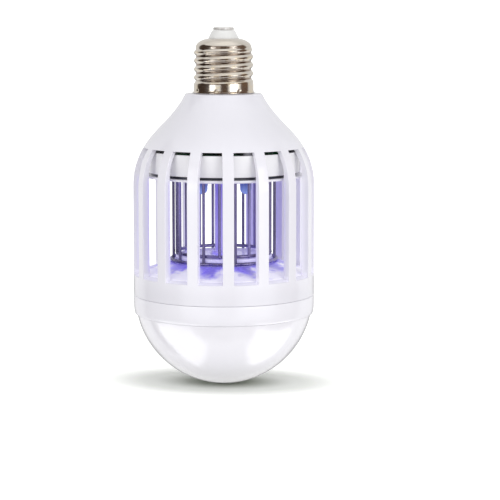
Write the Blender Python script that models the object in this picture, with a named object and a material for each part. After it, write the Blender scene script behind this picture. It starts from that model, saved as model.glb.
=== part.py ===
"""Insect killer light bulb: an E27 lamp with a charged wire grid in a ribbed cage over a milky light dome.

The origin is the centre of the contact's flat top and +Z points out of the screw cap, so the lamp hangs
below it. Sizes are in millimetres and become metres when a mesh is made. Angles are in degrees, measured
from the front, which faces -Y, towards +X.
"""

import math

import bmesh
import bpy
from mathutils import Matrix

MM = 0.001

# Gap left wherever one piece seats on another
FIT = 0.3

# How far a cutter reaches past what it cuts
CUT_PAST = 1.0

# Facets round a turn
BODY_SIDES = 48
DISC_SIDES = 32
THREAD_SIDES = 24
CAP_SIDES = 20
SMALL_SIDES = 8
HOLE_SIDES = 8
WIRE_SIDES = 6
WIRE_RING_SIDES = 30

# Rows of facets for each pitch of the thread
THREAD_ROWS = 4

# Centre contact and its insulator
CONTACT_R = 4.6
CONTACT_THICK = 1.2
CONTACT_EDGE = 0.4
STEM_R = 1.3
STEM_LENGTH = 5.8
INSULATOR_RIM = 0.6
INSULATOR_FLANGE = 3.0
INSULATOR_FLANGE_REACH = 2.3

# Rolled screw shell, E27
SHEET = 0.35
SHELL_DROP = 5.0
SHELL_MOUTH_R = 6.9
SHOULDER_DROP = 3.8
SHOULDER_TURN_IN = 0.85
THREAD_CREST_R = 13.15
THREAD_DEPTH = 1.0
THREAD_PITCH = 3.629
THREAD_START = 0.1
THREAD_CREST_DROP = 1.33
THREAD_LENGTH = 16.0
THREAD_FADE = 1.8
SKIRT_STEP = 0.05
SKIRT_FLARE = 0.3
SKIRT_HEIGHT = 3.7

# Outer form of the cage housing
BODY_R = 40.0
HOUSING_WALL = 2.0
SPIGOT_DROP = 4.1
NECK_STEP = 4.0
NECK_ROUND = 0.8
NECK_GROOVE = 0.4
FOOT_STEP = 0.4
FOOT_DROP = 1.3
WAIST_STEP = 9.4
WAIST_DROP = 13.0
SHOULDER_HEIGHT = 40.1
HOUSING_HEIGHT = 88.6

# Ribs and windows of the cage
RIB_COUNT = 16
RIB_WIDTH = 4.8
RIB_DEPTH = 3.2
WINDOW_CUT_DEPTH = 5.5
WINDOW_RISE = 1.5
BAND_HEIGHT = 8.9
BAND_WALL = 2.0
LEDGE_THICK = 3.4

# Bosses inside the housing, with their screws
BOSS_COUNT = 3
BOSS_R = 2.4
BOSS_SPACE = 0.8
BOSS_ANGLE = 30.0
SCREW_R = 1.5
SCREW_HEAD_R = 2.6
SCREW_HEAD_RIM = 0.2
SCREW_RECESS = 0.1
SCREW_LENGTH = 9.0
PILOT_SPARE = 1.2

# Cup under the dome, which carries the circuit
CUP_SPACE = 3.4
CUP_RISE = 5.8
CUP_HEIGHT = 9.3
CUP_WALL = 1.6
CUP_FLOOR = 1.8
CABLE_HOLE_R = 3.0
POST_COUNT = 3
POST_INSET = 4.6
POST_R = 2.4
POST_HEIGHT = 5.4
POST_ANGLE = 60.0

# Plate that holds the grid wires and the ultraviolet lamps
PLATE_SPACE = 2.0
PLATE_EDGE = 0.9
PLATE_GROOVE = 1.2
PLATE_GROOVE_DEPTH = 3.2
PLATE_HUB_REACH = 2.6
PLATE_HUB = 1.3
HUB_CHAMFER = 0.5

# Ultraviolet lamps
UV_COUNT = 4
UV_RING_SHARE = 0.8
UV_ANGLE = 53.45
UV_R = 2.5
UV_FLANGE_R = 2.9
UV_FLANGE = 1.0
UV_DROP = 5.9
UV_LEAD = 0.5
UV_LEAD_PITCH = 1.27
UV_BOARD_SPACE = 0.7
UV_BOARD = 1.0

# Grid of upright wires in two sets, one charged against the other
ROD_COUNT = 10
ROD_R = 0.65
ROD_INSET = 14.4
ROD_OFFSET = 1.2
ROD_ANGLE = 21.45
RING_WIRE_R = 0.75
INNER_RING_STEP = 0.6
OUTER_RING_STEP = 0.8
RING_SPACING = 3.0

# Column through the grid, and the cage floor
COLUMN_R = 3.9
COLUMN_BORE_R = 2.6
COLUMN_FLANGE_R = 5.2
COLUMN_FLANGE = 1.2
COLUMN_FOOT = 3.2
PEDESTAL_SPACE = 0.35
PEDESTAL_WALL = 1.8
FLOOR_RISE = 5.75
FLOOR_FLAT = 1.0
FLOOR_LIP_THICK = 1.5

# Driver board
BOARD_SPACE = 1.6
BOARD_THICK = 1.6
BOARD_SCREW_R = 1.0
BOARD_SCREW_HEAD_R = 2.0
BOARD_SCREW_HEAD = 1.2
BOARD_SCREW_LENGTH = 5.2

# What stands on the driver board, in shares of the radius that the board's posts stand on
SUPPLY_CAPACITOR_R_SHARE = 0.25
SUPPLY_CAPACITOR_HEIGHT_SHARE = 0.8
SUPPLY_CAPACITOR_PLACE_SHARE = (0.45, 0.4)
CORE_SIZE_SHARE = (0.8, 0.25, 0.6)
CORE_LEG_SHARE = 0.15
CORE_PLACE_SHARE = (-0.45, 0.15)
COIL_SPACE_SHARE = 0.06
GRID_CAPACITOR_COUNT = 3
GRID_CAPACITOR_SIZE_SHARE = (0.35, 0.17, 0.425)
GRID_CAPACITOR_PLACE_SHARE = (0.15, -0.35)
GRID_CAPACITOR_STEP_SHARE = 0.25
FUSE_R_SHARE = 0.085
FUSE_LENGTH_SHARE = 0.4
FUSE_PLACE_SHARE = (-0.65, -0.45)
RECTIFIER_SIZE_SHARE = (0.25, 0.32, 0.13)
RECTIFIER_PLACE_SHARE = (0.575, -0.225)
CHIP_SIZE_SHARE = (0.25, 0.2, 0.075)
CHIP_PLACE_SHARE = (-0.3, -0.325)
LIVE_END_SHARE = (-0.2, 0.75)
NEUTRAL_END_SHARE = (0.17, 0.815)

# Leads
LEAD_R = 0.6
GRID_LEAD_R = 0.5
LAMP_LEAD_PLACE = 1.0
LIVE_DROP = 8.0

# Lamp collar, heat spreader, lamp board and light dome
COLLAR_WALL = 1.8
COLLAR_HEIGHT = 3.9
COLLAR_TURN_HEIGHT = 4.3
COLLAR_TURN_IN = 0.8
COLLAR_LEDGE = 2.0
COLLAR_LEDGE_DROP = 0.5
COLLAR_LEDGE_DEPTH = 5.3
COLLAR_SKIRT_WALL = 2.4
SPREADER_THICK = 1.5
SPREADER_SCREW_COUNT = 3
SPREADER_SCREW_INSET = 2.2
SPREADER_SCREW_HEAD_R = 2.4
SPREADER_SCREW_HEAD = 1.5
LAMP_BOARD_THICK = 1.6
LAMP_LED_COUNT = 12
LAMP_LED_INSET = 9.6
LAMP_LED_SIZE = (3.5, 2.8, 0.7)
DOME_STEP = 0.6
DOME_CENTRE_DROP = 0.4
DOME_WALL = 1.6
DOME_RIM_WALL = 1.6

# Levels, from the contact down
STEM_END = -CONTACT_THICK - STEM_LENGTH
SHELL_TOP = -SHELL_DROP
THREAD_TOP = SHELL_TOP - SHOULDER_DROP - THREAD_START
THREAD_CREST_LEVEL = THREAD_TOP - THREAD_CREST_DROP
SPIGOT_TOP = THREAD_TOP - SPIGOT_DROP
THREAD_END = THREAD_TOP - THREAD_LENGTH
SHELL_END = THREAD_END - SKIRT_HEIGHT
NECK_TOP = SHELL_END - FIT
FOOT_LEVEL = NECK_TOP - FOOT_DROP
WAIST_LEVEL = NECK_TOP - WAIST_DROP
SHOULDER_END = NECK_TOP - SHOULDER_HEIGHT
BAND_END = NECK_TOP - HOUSING_HEIGHT
CUP_BOTTOM = SHOULDER_END + CUP_RISE
CUP_TOP = CUP_BOTTOM + CUP_HEIGHT
WINDOW_TOP = CUP_TOP + WINDOW_RISE
CUP_FLOOR_TOP = CUP_BOTTOM + CUP_FLOOR
BOSS_END = CUP_FLOOR_TOP + FIT
POST_TOP = CUP_FLOOR_TOP + POST_HEIGHT
BOARD_BOTTOM = POST_TOP + FIT
BOARD_TOP = BOARD_BOTTOM + BOARD_THICK
BOARD_SEAT = BOARD_TOP + FIT
UV_BOARD_BOTTOM = CUP_FLOOR_TOP + FIT
PLATE_TOP = CUP_BOTTOM - FIT
PLATE_RIM_TOP = CUP_BOTTOM - PLATE_GROOVE
PLATE_RIM_BOTTOM = PLATE_RIM_TOP - PLATE_EDGE
SCREW_FACE = PLATE_RIM_BOTTOM + SCREW_RECESS
HUB_BOTTOM = PLATE_RIM_BOTTOM - PLATE_HUB
UV_TIP = HUB_BOTTOM - UV_DROP
ROD_TOP = PLATE_TOP - 2 * FIT
SILL_LEVEL = BAND_END + BAND_HEIGHT
FLOOR_TOP = SILL_LEVEL + FLOOR_RISE
OUTER_RING_LEVEL = FLOOR_TOP + FIT + RING_WIRE_R
INNER_RING_LEVEL = OUTER_RING_LEVEL + RING_SPACING
PEDESTAL_TOP = INNER_RING_LEVEL - RING_WIRE_R - FIT
COLLAR_TOP = BAND_END - FIT
COLLAR_EDGE = COLLAR_TOP - COLLAR_HEIGHT
COLLAR_END = COLLAR_EDGE - COLLAR_TURN_HEIGHT
COLLAR_LEDGE_TOP = COLLAR_TOP - COLLAR_LEDGE_DROP
COLLAR_LEDGE_BOTTOM = COLLAR_LEDGE_TOP - COLLAR_LEDGE
SPREADER_BOTTOM = COLLAR_LEDGE_TOP + FIT
SPREADER_TOP = SPREADER_BOTTOM + SPREADER_THICK
LAMP_BOARD_TOP = SPREADER_BOTTOM - FIT
LAMP_BOARD_BOTTOM = LAMP_BOARD_TOP - LAMP_BOARD_THICK
DOME_SEAT = COLLAR_END - FIT
DOME_RIM_TOP = COLLAR_LEDGE_BOTTOM - FIT
DOME_CENTRE = COLLAR_TOP - DOME_CENTRE_DROP

# Radii, from the wall inwards
INSULATOR_TOP_R = CONTACT_R + INSULATOR_RIM
INSULATOR_FLANGE_R = SHELL_MOUTH_R + INSULATOR_FLANGE_REACH
SHOULDER_R = THREAD_CREST_R - SHOULDER_TURN_IN
SKIRT_R = THREAD_CREST_R + SKIRT_STEP
SPIGOT_R = THREAD_CREST_R - THREAD_DEPTH - SHEET - FIT
SPIGOT_BORE_R = SPIGOT_R - HOUSING_WALL
NECK_R = SKIRT_R + NECK_STEP
WAIST_R = NECK_R + WAIST_STEP
CAGE_INNER_R = BODY_R - RIB_DEPTH
CUP_R = CAGE_INNER_R - CUP_SPACE
BOSS_RING_R = CUP_R - CUP_WALL - BOSS_SPACE - BOSS_R
BOARD_R = BOSS_RING_R - BOSS_R - BOARD_SPACE
POST_RING_R = BOARD_R - POST_INSET
UV_BOARD_R = POST_RING_R - POST_R - UV_BOARD_SPACE
UV_RING_R = UV_BOARD_R * UV_RING_SHARE
PLATE_R = CAGE_INNER_R - PLATE_SPACE
PLATE_RAISED_R = PLATE_R - PLATE_GROOVE_DEPTH
OUTER_ROD_R = CAGE_INNER_R - ROD_INSET
INNER_ROD_R = OUTER_ROD_R - ROD_OFFSET
OUTER_RING_R = OUTER_ROD_R + OUTER_RING_STEP
INNER_RING_R = INNER_ROD_R - INNER_RING_STEP
PLATE_HUB_R = OUTER_ROD_R + PLATE_HUB_REACH
PEDESTAL_R = OUTER_ROD_R - ROD_R - PEDESTAL_SPACE
COLUMN_HOLE_R = COLUMN_R + FIT
FLOOR_IN_R = OUTER_RING_R + FLOOR_FLAT
FLOOR_R = CAGE_INNER_R - FIT
BAND_INNER_R = BODY_R - BAND_WALL
FLOOR_LIP_R = BAND_INNER_R - FIT
COLLAR_SPIGOT_R = BAND_INNER_R - FIT
COLLAR_BORE_R = COLLAR_SPIGOT_R - COLLAR_WALL
COLLAR_END_R = BODY_R - COLLAR_TURN_IN
COLLAR_LEDGE_R = COLLAR_BORE_R - COLLAR_LEDGE_DEPTH
SPREADER_SCREW_RING_R = COLLAR_LEDGE_R + SPREADER_SCREW_INSET
LAMP_LED_RING_R = COLLAR_LEDGE_R - LAMP_LED_INSET
DOME_R = BODY_R - DOME_STEP
DOME_RIM_R = BODY_R - COLLAR_SKIRT_WALL - FIT

# Slope of the cage floor, and the levels that come from it
FLOOR_SLOPE = FLOOR_RISE / (BODY_R - FLOOR_IN_R)
LEDGE_BOTTOM = SILL_LEVEL + FLOOR_SLOPE * (BODY_R - CAGE_INNER_R) - LEDGE_THICK
FLOOR_LIP_TOP = LEDGE_BOTTOM - FIT
FLOOR_LIP_BOTTOM = FLOOR_LIP_TOP - FLOOR_LIP_THICK
COLLAR_SPIGOT_TOP = FLOOR_LIP_BOTTOM - FIT
DOME_BOTTOM = DOME_CENTRE - DOME_R


def clear_scene():
    for obj in list(bpy.data.objects):
        bpy.data.objects.remove(obj, do_unlink=True)


def finish(name, colour, roughness, metallic=0.0, transmission=0.0, glow=0.0):
    """A Principled material of one plain colour."""
    made = bpy.data.materials.new(name)
    made.use_nodes = True
    shader = made.node_tree.nodes["Principled BSDF"]
    shader.inputs["Base Color"].default_value = (*colour, 1.0)
    shader.inputs["Roughness"].default_value = roughness
    shader.inputs["Metallic"].default_value = metallic
    shader.inputs["Transmission Weight"].default_value = transmission
    shader.inputs["Emission Color"].default_value = (*colour, 1.0)
    shader.inputs["Emission Strength"].default_value = glow
    made.diffuse_color = (*colour, 1.0)
    return made


def place(radius, angle):
    """The point at this radius and angle, as x and y."""
    turned = math.radians(angle)
    return radius * math.sin(turned), -radius * math.cos(turned)


def around(count, start):
    """Evenly spaced angles."""
    return [start + 360.0 * index / count for index in range(count)]


def curve_points(start, lead_out, lead_in, end, count):
    """Points of a cubic curve after its start, up to its end."""
    points = []
    for step in range(1, count + 1):
        t = step / count
        weights = ((1 - t) ** 3, 3 * t * (1 - t) ** 2, 3 * t * t * (1 - t), t**3)
        corners = (start, lead_out, lead_in, end)
        points.append(tuple(sum(w * c[axis] for w, c in zip(weights, corners)) for axis in (0, 1)))
    return points


def arc_points(centre, radius, start, end, count):
    """Points of an arc, both ends included, with its angle measured from the outward direction."""
    points = []
    for step in range(count + 1):
        turned = math.radians(start + (end - start) * step / count)
        points.append((centre[0] + radius * math.cos(turned), centre[1] + radius * math.sin(turned)))
    return points


def turn(bm, outline, sides, centre=(0.0, 0.0), radius_at=None):
    """Revolves a closed outline of (radius, level) points about a vertical axis."""
    rows = []
    for index, (radius, level) in enumerate(outline):
        if radius == 0:
            rows.append([bm.verts.new((centre[0], centre[1], level))] * sides)
            continue
        row = []
        for side in range(sides):
            angle = 360.0 * side / sides
            reach = radius if radius_at is None else radius_at(index, angle)
            x, y = place(reach, angle)
            row.append(bm.verts.new((centre[0] + x, centre[1] + y, level)))
        rows.append(row)
    for index, row in enumerate(rows):
        following = rows[(index + 1) % len(rows)]
        for side in range(sides):
            after = (side + 1) % sides
            corners = (row[side], row[after], following[after], following[side])
            distinct = list(dict.fromkeys(corners))
            if len(distinct) > 2:
                bm.faces.new(distinct)


def cylinder(bm, centre, radius, low, high, sides=HOLE_SIDES):
    turn(bm, [(0, low), (radius, low), (radius, high), (0, high)], sides, centre)


def box(bm, centre, size, low):
    """A box on this level, with its middle over the centre."""
    made = bmesh.ops.create_cube(bm, size=1.0)
    bmesh.ops.scale(bm, vec=size, verts=made["verts"])
    middle = (centre[0], centre[1], low + size[2] / 2)
    bmesh.ops.translate(bm, vec=middle, verts=made["verts"])
    return made["verts"]


def prism(bm, bottom, top):
    """A closed body between two polygons with the same number of corners."""
    low = [bm.verts.new(point) for point in bottom]
    high = [bm.verts.new(point) for point in top]
    bm.faces.new(low)
    bm.faces.new(list(reversed(high)))
    for index in range(len(low)):
        after = (index + 1) % len(low)
        bm.faces.new((low[index], low[after], high[after], high[index]))


def as_object(name, bm, material=None, sharp_angle=35.0):
    """Makes the object from millimetres, with its faces pointing out."""
    bmesh.ops.recalc_face_normals(bm, faces=bm.faces)
    bmesh.ops.transform(bm, matrix=Matrix.Scale(MM, 4), verts=bm.verts)
    mesh = bpy.data.meshes.new(name)
    bm.to_mesh(mesh)
    bm.free()
    mesh.shade_smooth()
    mesh.set_sharp_from_angle(angle=math.radians(sharp_angle))
    obj = bpy.data.objects.new(name, mesh)
    bpy.context.scene.collection.objects.link(obj)
    if material:
        mesh.materials.append(material)
    return obj


def combine(obj, tool, operation):
    """Joins a tool body to the object, or cuts it out, and hides the tool."""
    tool.hide_render = True
    tool.display_type = "WIRE"
    modifier = obj.modifiers.new(tool.name, "BOOLEAN")
    modifier.operation = operation
    modifier.solver = "EXACT"
    modifier.object = tool


def turned_piece(name, outline, sides, material):
    bm = bmesh.new()
    turn(bm, outline, sides)
    return as_object(name, bm, material)


def tube_piece(name, route, radius, material):
    """A round lead along a smooth route through the given points."""
    curve = bpy.data.curves.new(name, "CURVE")
    curve.dimensions = "3D"
    curve.bevel_depth = radius * MM
    curve.bevel_resolution = 1
    curve.use_fill_caps = True
    curve.resolution_u = 1
    points = smooth_route(route)
    spline = curve.splines.new("POLY")
    spline.points.add(len(points) - 1)
    for slot, point in zip(spline.points, points):
        slot.co = (*[value * MM for value in point], 1.0)
    curve.materials.append(material)
    obj = bpy.data.objects.new(name, curve)
    bpy.context.scene.collection.objects.link(obj)
    return obj


def smooth_route(route, steps=3):
    """Catmull-Rom points through a route. A route of two points is straight."""
    if len(route) == 2:
        return route
    padded = [route[0], *route, route[-1]]
    points = []
    for index in range(1, len(padded) - 2):
        before, start, end, after = padded[index - 1 : index + 3]
        for step in range(steps):
            t = step / steps
            points.append(
                tuple(
                    0.5 * (2 * s + (e - b) * t + (2 * b - 5 * s + 4 * e - a) * t * t + (3 * s - b - 3 * e + a) * t**3)
                    for b, s, e, a in zip(before, start, end, after)
                )
            )
    return [*points, tuple(route[-1])]


def pan_screw_outline(head_seat, head_r, head, shank_r, length):
    """A pan-head screw's outline, with the head above its seat and the shank below it."""
    return [
        (0, head_seat + head),
        (head_r * 0.7, head_seat + head),
        (head_r, head_seat + head * 0.45),
        (head_r, head_seat),
        (shank_r, head_seat),
        (shank_r, head_seat - length + shank_r * 0.6),
        (shank_r * 0.3, head_seat - length),
        (0, head_seat - length),
    ]


def countersunk_screw_outline():
    """The outline of a plate screw: its head lies in the plate's underside and its shank runs up from it."""
    cone = SCREW_FACE + SCREW_HEAD_RIM
    tip = SCREW_FACE + SCREW_LENGTH
    return [
        (0, SCREW_FACE),
        (SCREW_HEAD_R, SCREW_FACE),
        (SCREW_HEAD_R, cone),
        (SCREW_R, cone + SCREW_HEAD_R - SCREW_R),
        (SCREW_R, tip - SCREW_R * 0.6),
        (SCREW_R * 0.3, tip),
        (0, tip),
    ]


def screw_piece(name, centre, outline, material):
    bm = bmesh.new()
    turn(bm, outline, SMALL_SIDES, centre)
    return as_object(name, bm, material)


# Screw cap


def centre_contact(material):
    outline = [
        (0, 0),
        (CONTACT_R - 2 * CONTACT_EDGE, 0),
        (CONTACT_R - 0.6 * CONTACT_EDGE, -0.4 * CONTACT_EDGE),
        (CONTACT_R, -CONTACT_EDGE - 0.2),
        (CONTACT_R, -CONTACT_THICK),
        (STEM_R, -CONTACT_THICK),
        (STEM_R, STEM_END),
        (0, STEM_END),
    ]
    turned_piece("centre_contact", outline, CAP_SIDES, material)


def cap_insulator(material):
    """White cone round the contact, with a flange that bears up under the shell's shoulder."""
    seat = -CONTACT_THICK - FIT
    neck_r = SHELL_MOUTH_R - FIT
    flange_top = SHELL_TOP - SHEET - FIT
    outline = [
        (STEM_R + FIT, seat),
        (INSULATOR_TOP_R - 0.3, seat),
        (INSULATOR_TOP_R, seat - 0.3),
        (neck_r, SHELL_TOP + 0.1),
        (neck_r, flange_top - 0.3),
        (INSULATOR_FLANGE_R, flange_top - 1.2),
        (INSULATOR_FLANGE_R, flange_top - INSULATOR_FLANGE),
        (STEM_R + FIT, flange_top - INSULATOR_FLANGE),
    ]
    turned_piece("cap_insulator", outline, CAP_SIDES, material)


def shell_rows():
    """The shell's outer section from mouth to skirt: radius without thread, level, and share of the thread."""
    rows = []
    for step in range(5):
        turned = math.radians(90.0 * step / 4)
        radius = SHELL_MOUTH_R + (SHOULDER_R - SHELL_MOUTH_R) * math.sin(turned)
        rows.append((radius, SHELL_TOP - SHOULDER_DROP * (1 - math.cos(turned)), 0.0))
    middle = THREAD_CREST_R - THREAD_DEPTH / 2
    count = round((THREAD_TOP - THREAD_END) / (THREAD_PITCH / THREAD_ROWS))
    for step in range(1, count):
        level = THREAD_TOP + (THREAD_END - THREAD_TOP) * step / count
        share = min(1.0, (THREAD_TOP - level) / THREAD_FADE, (level - THREAD_END) / THREAD_FADE)
        lower = max(0.0, 1 - (level - THREAD_END) / THREAD_FADE)
        upper = max(0.0, 1 - (THREAD_TOP - level) / THREAD_FADE)
        rows.append((middle + (SKIRT_R - middle) * lower + (SHOULDER_R - middle) * upper, level, share))
    rows.append((SKIRT_R, THREAD_END, 0.0))
    rows.append((SKIRT_R, SHELL_END + 3 * SKIRT_FLARE, 0.0))
    rows.append((SKIRT_R + SKIRT_FLARE, SHELL_END, 0.0))
    return rows


def screw_shell(material):
    """Rolled sheet: the inside follows the thread of the outside."""
    rows = shell_rows()
    inside = [(radius - SHEET, level, share) for radius, level, share in reversed(rows)]
    mouth = inside.pop()
    inside.append((mouth[0] + SHEET, mouth[1] - SHEET, 0.0))
    loop = rows + inside

    def radius_at(index, angle):
        radius, level, share = loop[index]
        crest = THREAD_CREST_LEVEL + THREAD_PITCH * angle / 360.0
        return radius + share * THREAD_DEPTH / 2 * math.cos(2 * math.pi * (level - crest) / THREAD_PITCH)

    bm = bmesh.new()
    turn(bm, [(radius, level) for radius, level, share in loop], THREAD_SIDES, radius_at=radius_at)
    as_object("screw_shell", bm, material, sharp_angle=60.0)


# Cage housing


def shoulder_outline():
    """The housing's outside from the neck's rounded edge to the cylinder: a hollow curve, then a full one."""
    neck_centre = (NECK_R - NECK_ROUND, NECK_TOP - NECK_ROUND)
    points = arc_points(neck_centre, NECK_ROUND, 90, 0, 2)
    foot = (NECK_R + FOOT_STEP, FOOT_LEVEL)
    waist = (WAIST_R, WAIST_LEVEL)
    drop = FOOT_LEVEL - WAIST_LEVEL
    spread = WAIST_R - foot[0]
    points.append(foot)
    lead_out = (foot[0] + 0.14 * spread, foot[1] - 0.25 * drop)
    lead_in = (WAIST_R - 0.45 * spread, WAIST_LEVEL + 0.35 * drop)
    points += curve_points(foot, lead_out, lead_in, waist, 3)
    drop = WAIST_LEVEL - SHOULDER_END
    lead_out = (WAIST_R + 0.4 * (BODY_R - WAIST_R), WAIST_LEVEL - 0.2 * drop)
    lead_in = (BODY_R, WAIST_LEVEL - 0.5 * drop)
    points += curve_points(waist, lead_out, lead_in, (BODY_R, SHOULDER_END), 6)
    return points


def inner_shoulder():
    """The same curve moved inwards by the wall, as far as the inside of the cage ribs."""
    outer = shoulder_outline()[3:]
    points = []
    for index in range(1, len(outer)):
        before, point = outer[index - 1], outer[min(index + 1, len(outer) - 1)]
        run, rise = point[0] - before[0], point[1] - before[1]
        length = math.hypot(run, rise)
        radius = outer[index][0] + HOUSING_WALL * rise / length
        level = outer[index][1] - HOUSING_WALL * run / length
        if radius >= CAGE_INNER_R - 0.2:
            points.append((CAGE_INNER_R, level))
            break
        points.append((radius, level))
    return points


def floor_level(radius):
    """Height of the sloping cage floor at this radius."""
    return FLOOR_TOP - FLOOR_SLOPE * (radius - FLOOR_IN_R)


def boss_places():
    return [place(BOSS_RING_R, angle) for angle in around(BOSS_COUNT, BOSS_ANGLE)]


def post_places():
    return [place(POST_RING_R, angle) for angle in around(POST_COUNT, POST_ANGLE)]


def on_board(shares):
    """A place or a size on the driver board, from its shares of the posts' radius."""
    return [share * POST_RING_R for share in shares]


def window_cutter():
    """Sixteen wedges, each between two parallel-sided ribs, with a top cut level and a sill that slopes out."""
    bm = bmesh.new()
    half = 180.0 / RIB_COUNT
    slope, share = math.tan(math.radians(half)), math.cos(math.radians(half))
    inner, outer = CAGE_INNER_R - WINDOW_CUT_DEPTH, BODY_R + WINDOW_CUT_DEPTH
    for angle in around(RIB_COUNT, 0):
        corners = []
        for reach, side in ((inner, -1), (outer, -1), (outer, 1), (inner, 1)):
            across = side * (reach * slope - RIB_WIDTH / 2 / share)
            ahead, aside = place(reach, angle), place(across, angle + 90)
            corners.append((ahead[0] + aside[0], ahead[1] + aside[1], reach))
        bottom = [(x, y, floor_level(reach)) for x, y, reach in corners]
        top = [(x, y, WINDOW_TOP) for x, y, reach in corners]
        prism(bm, bottom, top)
    return as_object("window_cutter", bm)


def cage_housing(material):
    """One moulding: spigot, neck with a groove for the shell's edge, dome, ribs and the band under them."""
    foot_r = SKIRT_R - SHEET - FIT
    step = THREAD_END - FIT
    groove_r = SKIRT_R + SKIRT_FLARE + FIT
    outside = [(0, SPIGOT_TOP), (SPIGOT_R, SPIGOT_TOP), (SPIGOT_R, step), (foot_r, step)]
    outside += [(foot_r, NECK_TOP - NECK_GROOVE), (groove_r, NECK_TOP - NECK_GROOVE), (groove_r, NECK_TOP)]
    outside += shoulder_outline()
    outside += [(BODY_R, BAND_END), (0, BAND_END)]
    housing = turned_piece("cage_housing", outside, BODY_SIDES, material)

    roof = NECK_TOP - HOUSING_WALL
    shoulder = inner_shoulder()
    cavity = bmesh.new()
    inside = [(0, SPIGOT_TOP + CUT_PAST), (SPIGOT_BORE_R, SPIGOT_TOP + CUT_PAST), (SPIGOT_BORE_R, roof)]
    inside += [(shoulder[0][0] - HOUSING_WALL, roof)] + shoulder
    inside += [(CAGE_INNER_R, LEDGE_BOTTOM), (BAND_INNER_R, LEDGE_BOTTOM)]
    inside += [(BAND_INNER_R, BAND_END - CUT_PAST), (0, BAND_END - CUT_PAST)]
    turn(cavity, inside, BODY_SIDES)
    hollow = as_object("cavity_cutter", cavity)

    bosses = bmesh.new()
    for centre in boss_places():
        cylinder(bosses, centre, BOSS_R, BOSS_END, NECK_TOP, SMALL_SIDES)
    combine(hollow, as_object("boss_form", bosses), "DIFFERENCE")
    combine(housing, hollow, "DIFFERENCE")

    pilots = bmesh.new()
    for centre in boss_places():
        tip = SCREW_FACE + SCREW_LENGTH + PILOT_SPARE
        cylinder(pilots, centre, SCREW_R + FIT, BOSS_END - CUT_PAST, tip)
    combine(housing, as_object("pilot_cutter", pilots), "DIFFERENCE")
    combine(housing, window_cutter(), "DIFFERENCE")


# Cup, plate and grid


def uv_places():
    return [place(UV_RING_R, angle) for angle in around(UV_COUNT, UV_ANGLE)]


def rod_places(radius, start):
    return [place(radius, angle) for angle in around(ROD_COUNT, start)]


def inner_rods():
    return rod_places(INNER_ROD_R, ROD_ANGLE + 180.0 / ROD_COUNT)


def outer_rods():
    return rod_places(OUTER_ROD_R, ROD_ANGLE)


def grid_lead_places():
    """One wire of each set takes a lead from the driver board."""
    return inner_rods()[3], outer_rods()[8]


def upper_cup(material):
    outline = [
        (CUP_R, CUP_TOP),
        (CUP_R, CUP_BOTTOM),
        (CABLE_HOLE_R, CUP_BOTTOM),
        (CABLE_HOLE_R, CUP_FLOOR_TOP),
        (CUP_R - CUP_WALL, CUP_FLOOR_TOP),
        (CUP_R - CUP_WALL, CUP_TOP),
    ]
    cup = turned_piece("upper_cup", outline, DISC_SIDES, material)
    posts = bmesh.new()
    holes = bmesh.new()
    for centre in post_places():
        cylinder(posts, centre, POST_R, CUP_FLOOR_TOP - CUP_FLOOR / 2, POST_TOP, SMALL_SIDES)
        depth = BOARD_SCREW_LENGTH - BOARD_THICK - FIT
        cylinder(holes, centre, BOARD_SCREW_R + FIT, POST_TOP - depth - FIT, POST_TOP + CUT_PAST)
    for centre in boss_places():
        cylinder(holes, centre, SCREW_R + FIT, CUP_BOTTOM - CUT_PAST, CUP_FLOOR_TOP + CUT_PAST)
    for centre in uv_places():
        cylinder(holes, centre, UV_LEAD_PITCH + UV_LEAD + FIT, CUP_BOTTOM - CUT_PAST, CUP_FLOOR_TOP + CUT_PAST)
    for centre in grid_lead_places():
        cylinder(holes, centre, GRID_LEAD_R + FIT, CUP_BOTTOM - CUT_PAST, CUP_FLOOR_TOP + CUT_PAST)
    combine(cup, as_object("post_form", posts), "UNION")
    combine(cup, as_object("cup_holes", holes), "DIFFERENCE")


def grid_plate(material):
    outline = [
        (COLUMN_HOLE_R, PLATE_TOP),
        (PLATE_RAISED_R, PLATE_TOP),
        (PLATE_RAISED_R, PLATE_RIM_TOP),
        (PLATE_R, PLATE_RIM_TOP),
        (PLATE_R, PLATE_RIM_BOTTOM),
        (PLATE_HUB_R, PLATE_RIM_BOTTOM),
        (PLATE_HUB_R - HUB_CHAMFER, HUB_BOTTOM),
        (COLUMN_HOLE_R, HUB_BOTTOM),
    ]
    plate = turned_piece("grid_plate", outline, DISC_SIDES, material)
    holes = bmesh.new()
    for centre in inner_rods() + outer_rods():
        cylinder(holes, centre, ROD_R + FIT, HUB_BOTTOM - CUT_PAST, PLATE_TOP + CUT_PAST, WIRE_SIDES)
    cone = SCREW_FACE + SCREW_HEAD_RIM + FIT / 2
    for centre in boss_places():
        sunk = [
            (0, PLATE_RIM_BOTTOM - CUT_PAST),
            (SCREW_HEAD_R + FIT, PLATE_RIM_BOTTOM - CUT_PAST),
            (SCREW_HEAD_R + FIT, cone),
            (SCREW_R + FIT, cone + SCREW_HEAD_R - SCREW_R),
            (SCREW_R + FIT, PLATE_TOP + CUT_PAST),
            (0, PLATE_TOP + CUT_PAST),
        ]
        turn(holes, sunk, SMALL_SIDES, centre)
    flange_bottom = PLATE_TOP - FIT - UV_FLANGE - FIT
    for centre in uv_places():
        stepped = [
            (0, HUB_BOTTOM - CUT_PAST),
            (UV_R + FIT, HUB_BOTTOM - CUT_PAST),
            (UV_R + FIT, flange_bottom),
            (UV_FLANGE_R + FIT, flange_bottom),
            (UV_FLANGE_R + FIT, PLATE_TOP + CUT_PAST),
            (0, PLATE_TOP + CUT_PAST),
        ]
        turn(holes, stepped, SMALL_SIDES, centre)
    combine(plate, as_object("plate_holes", holes), "DIFFERENCE")


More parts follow.
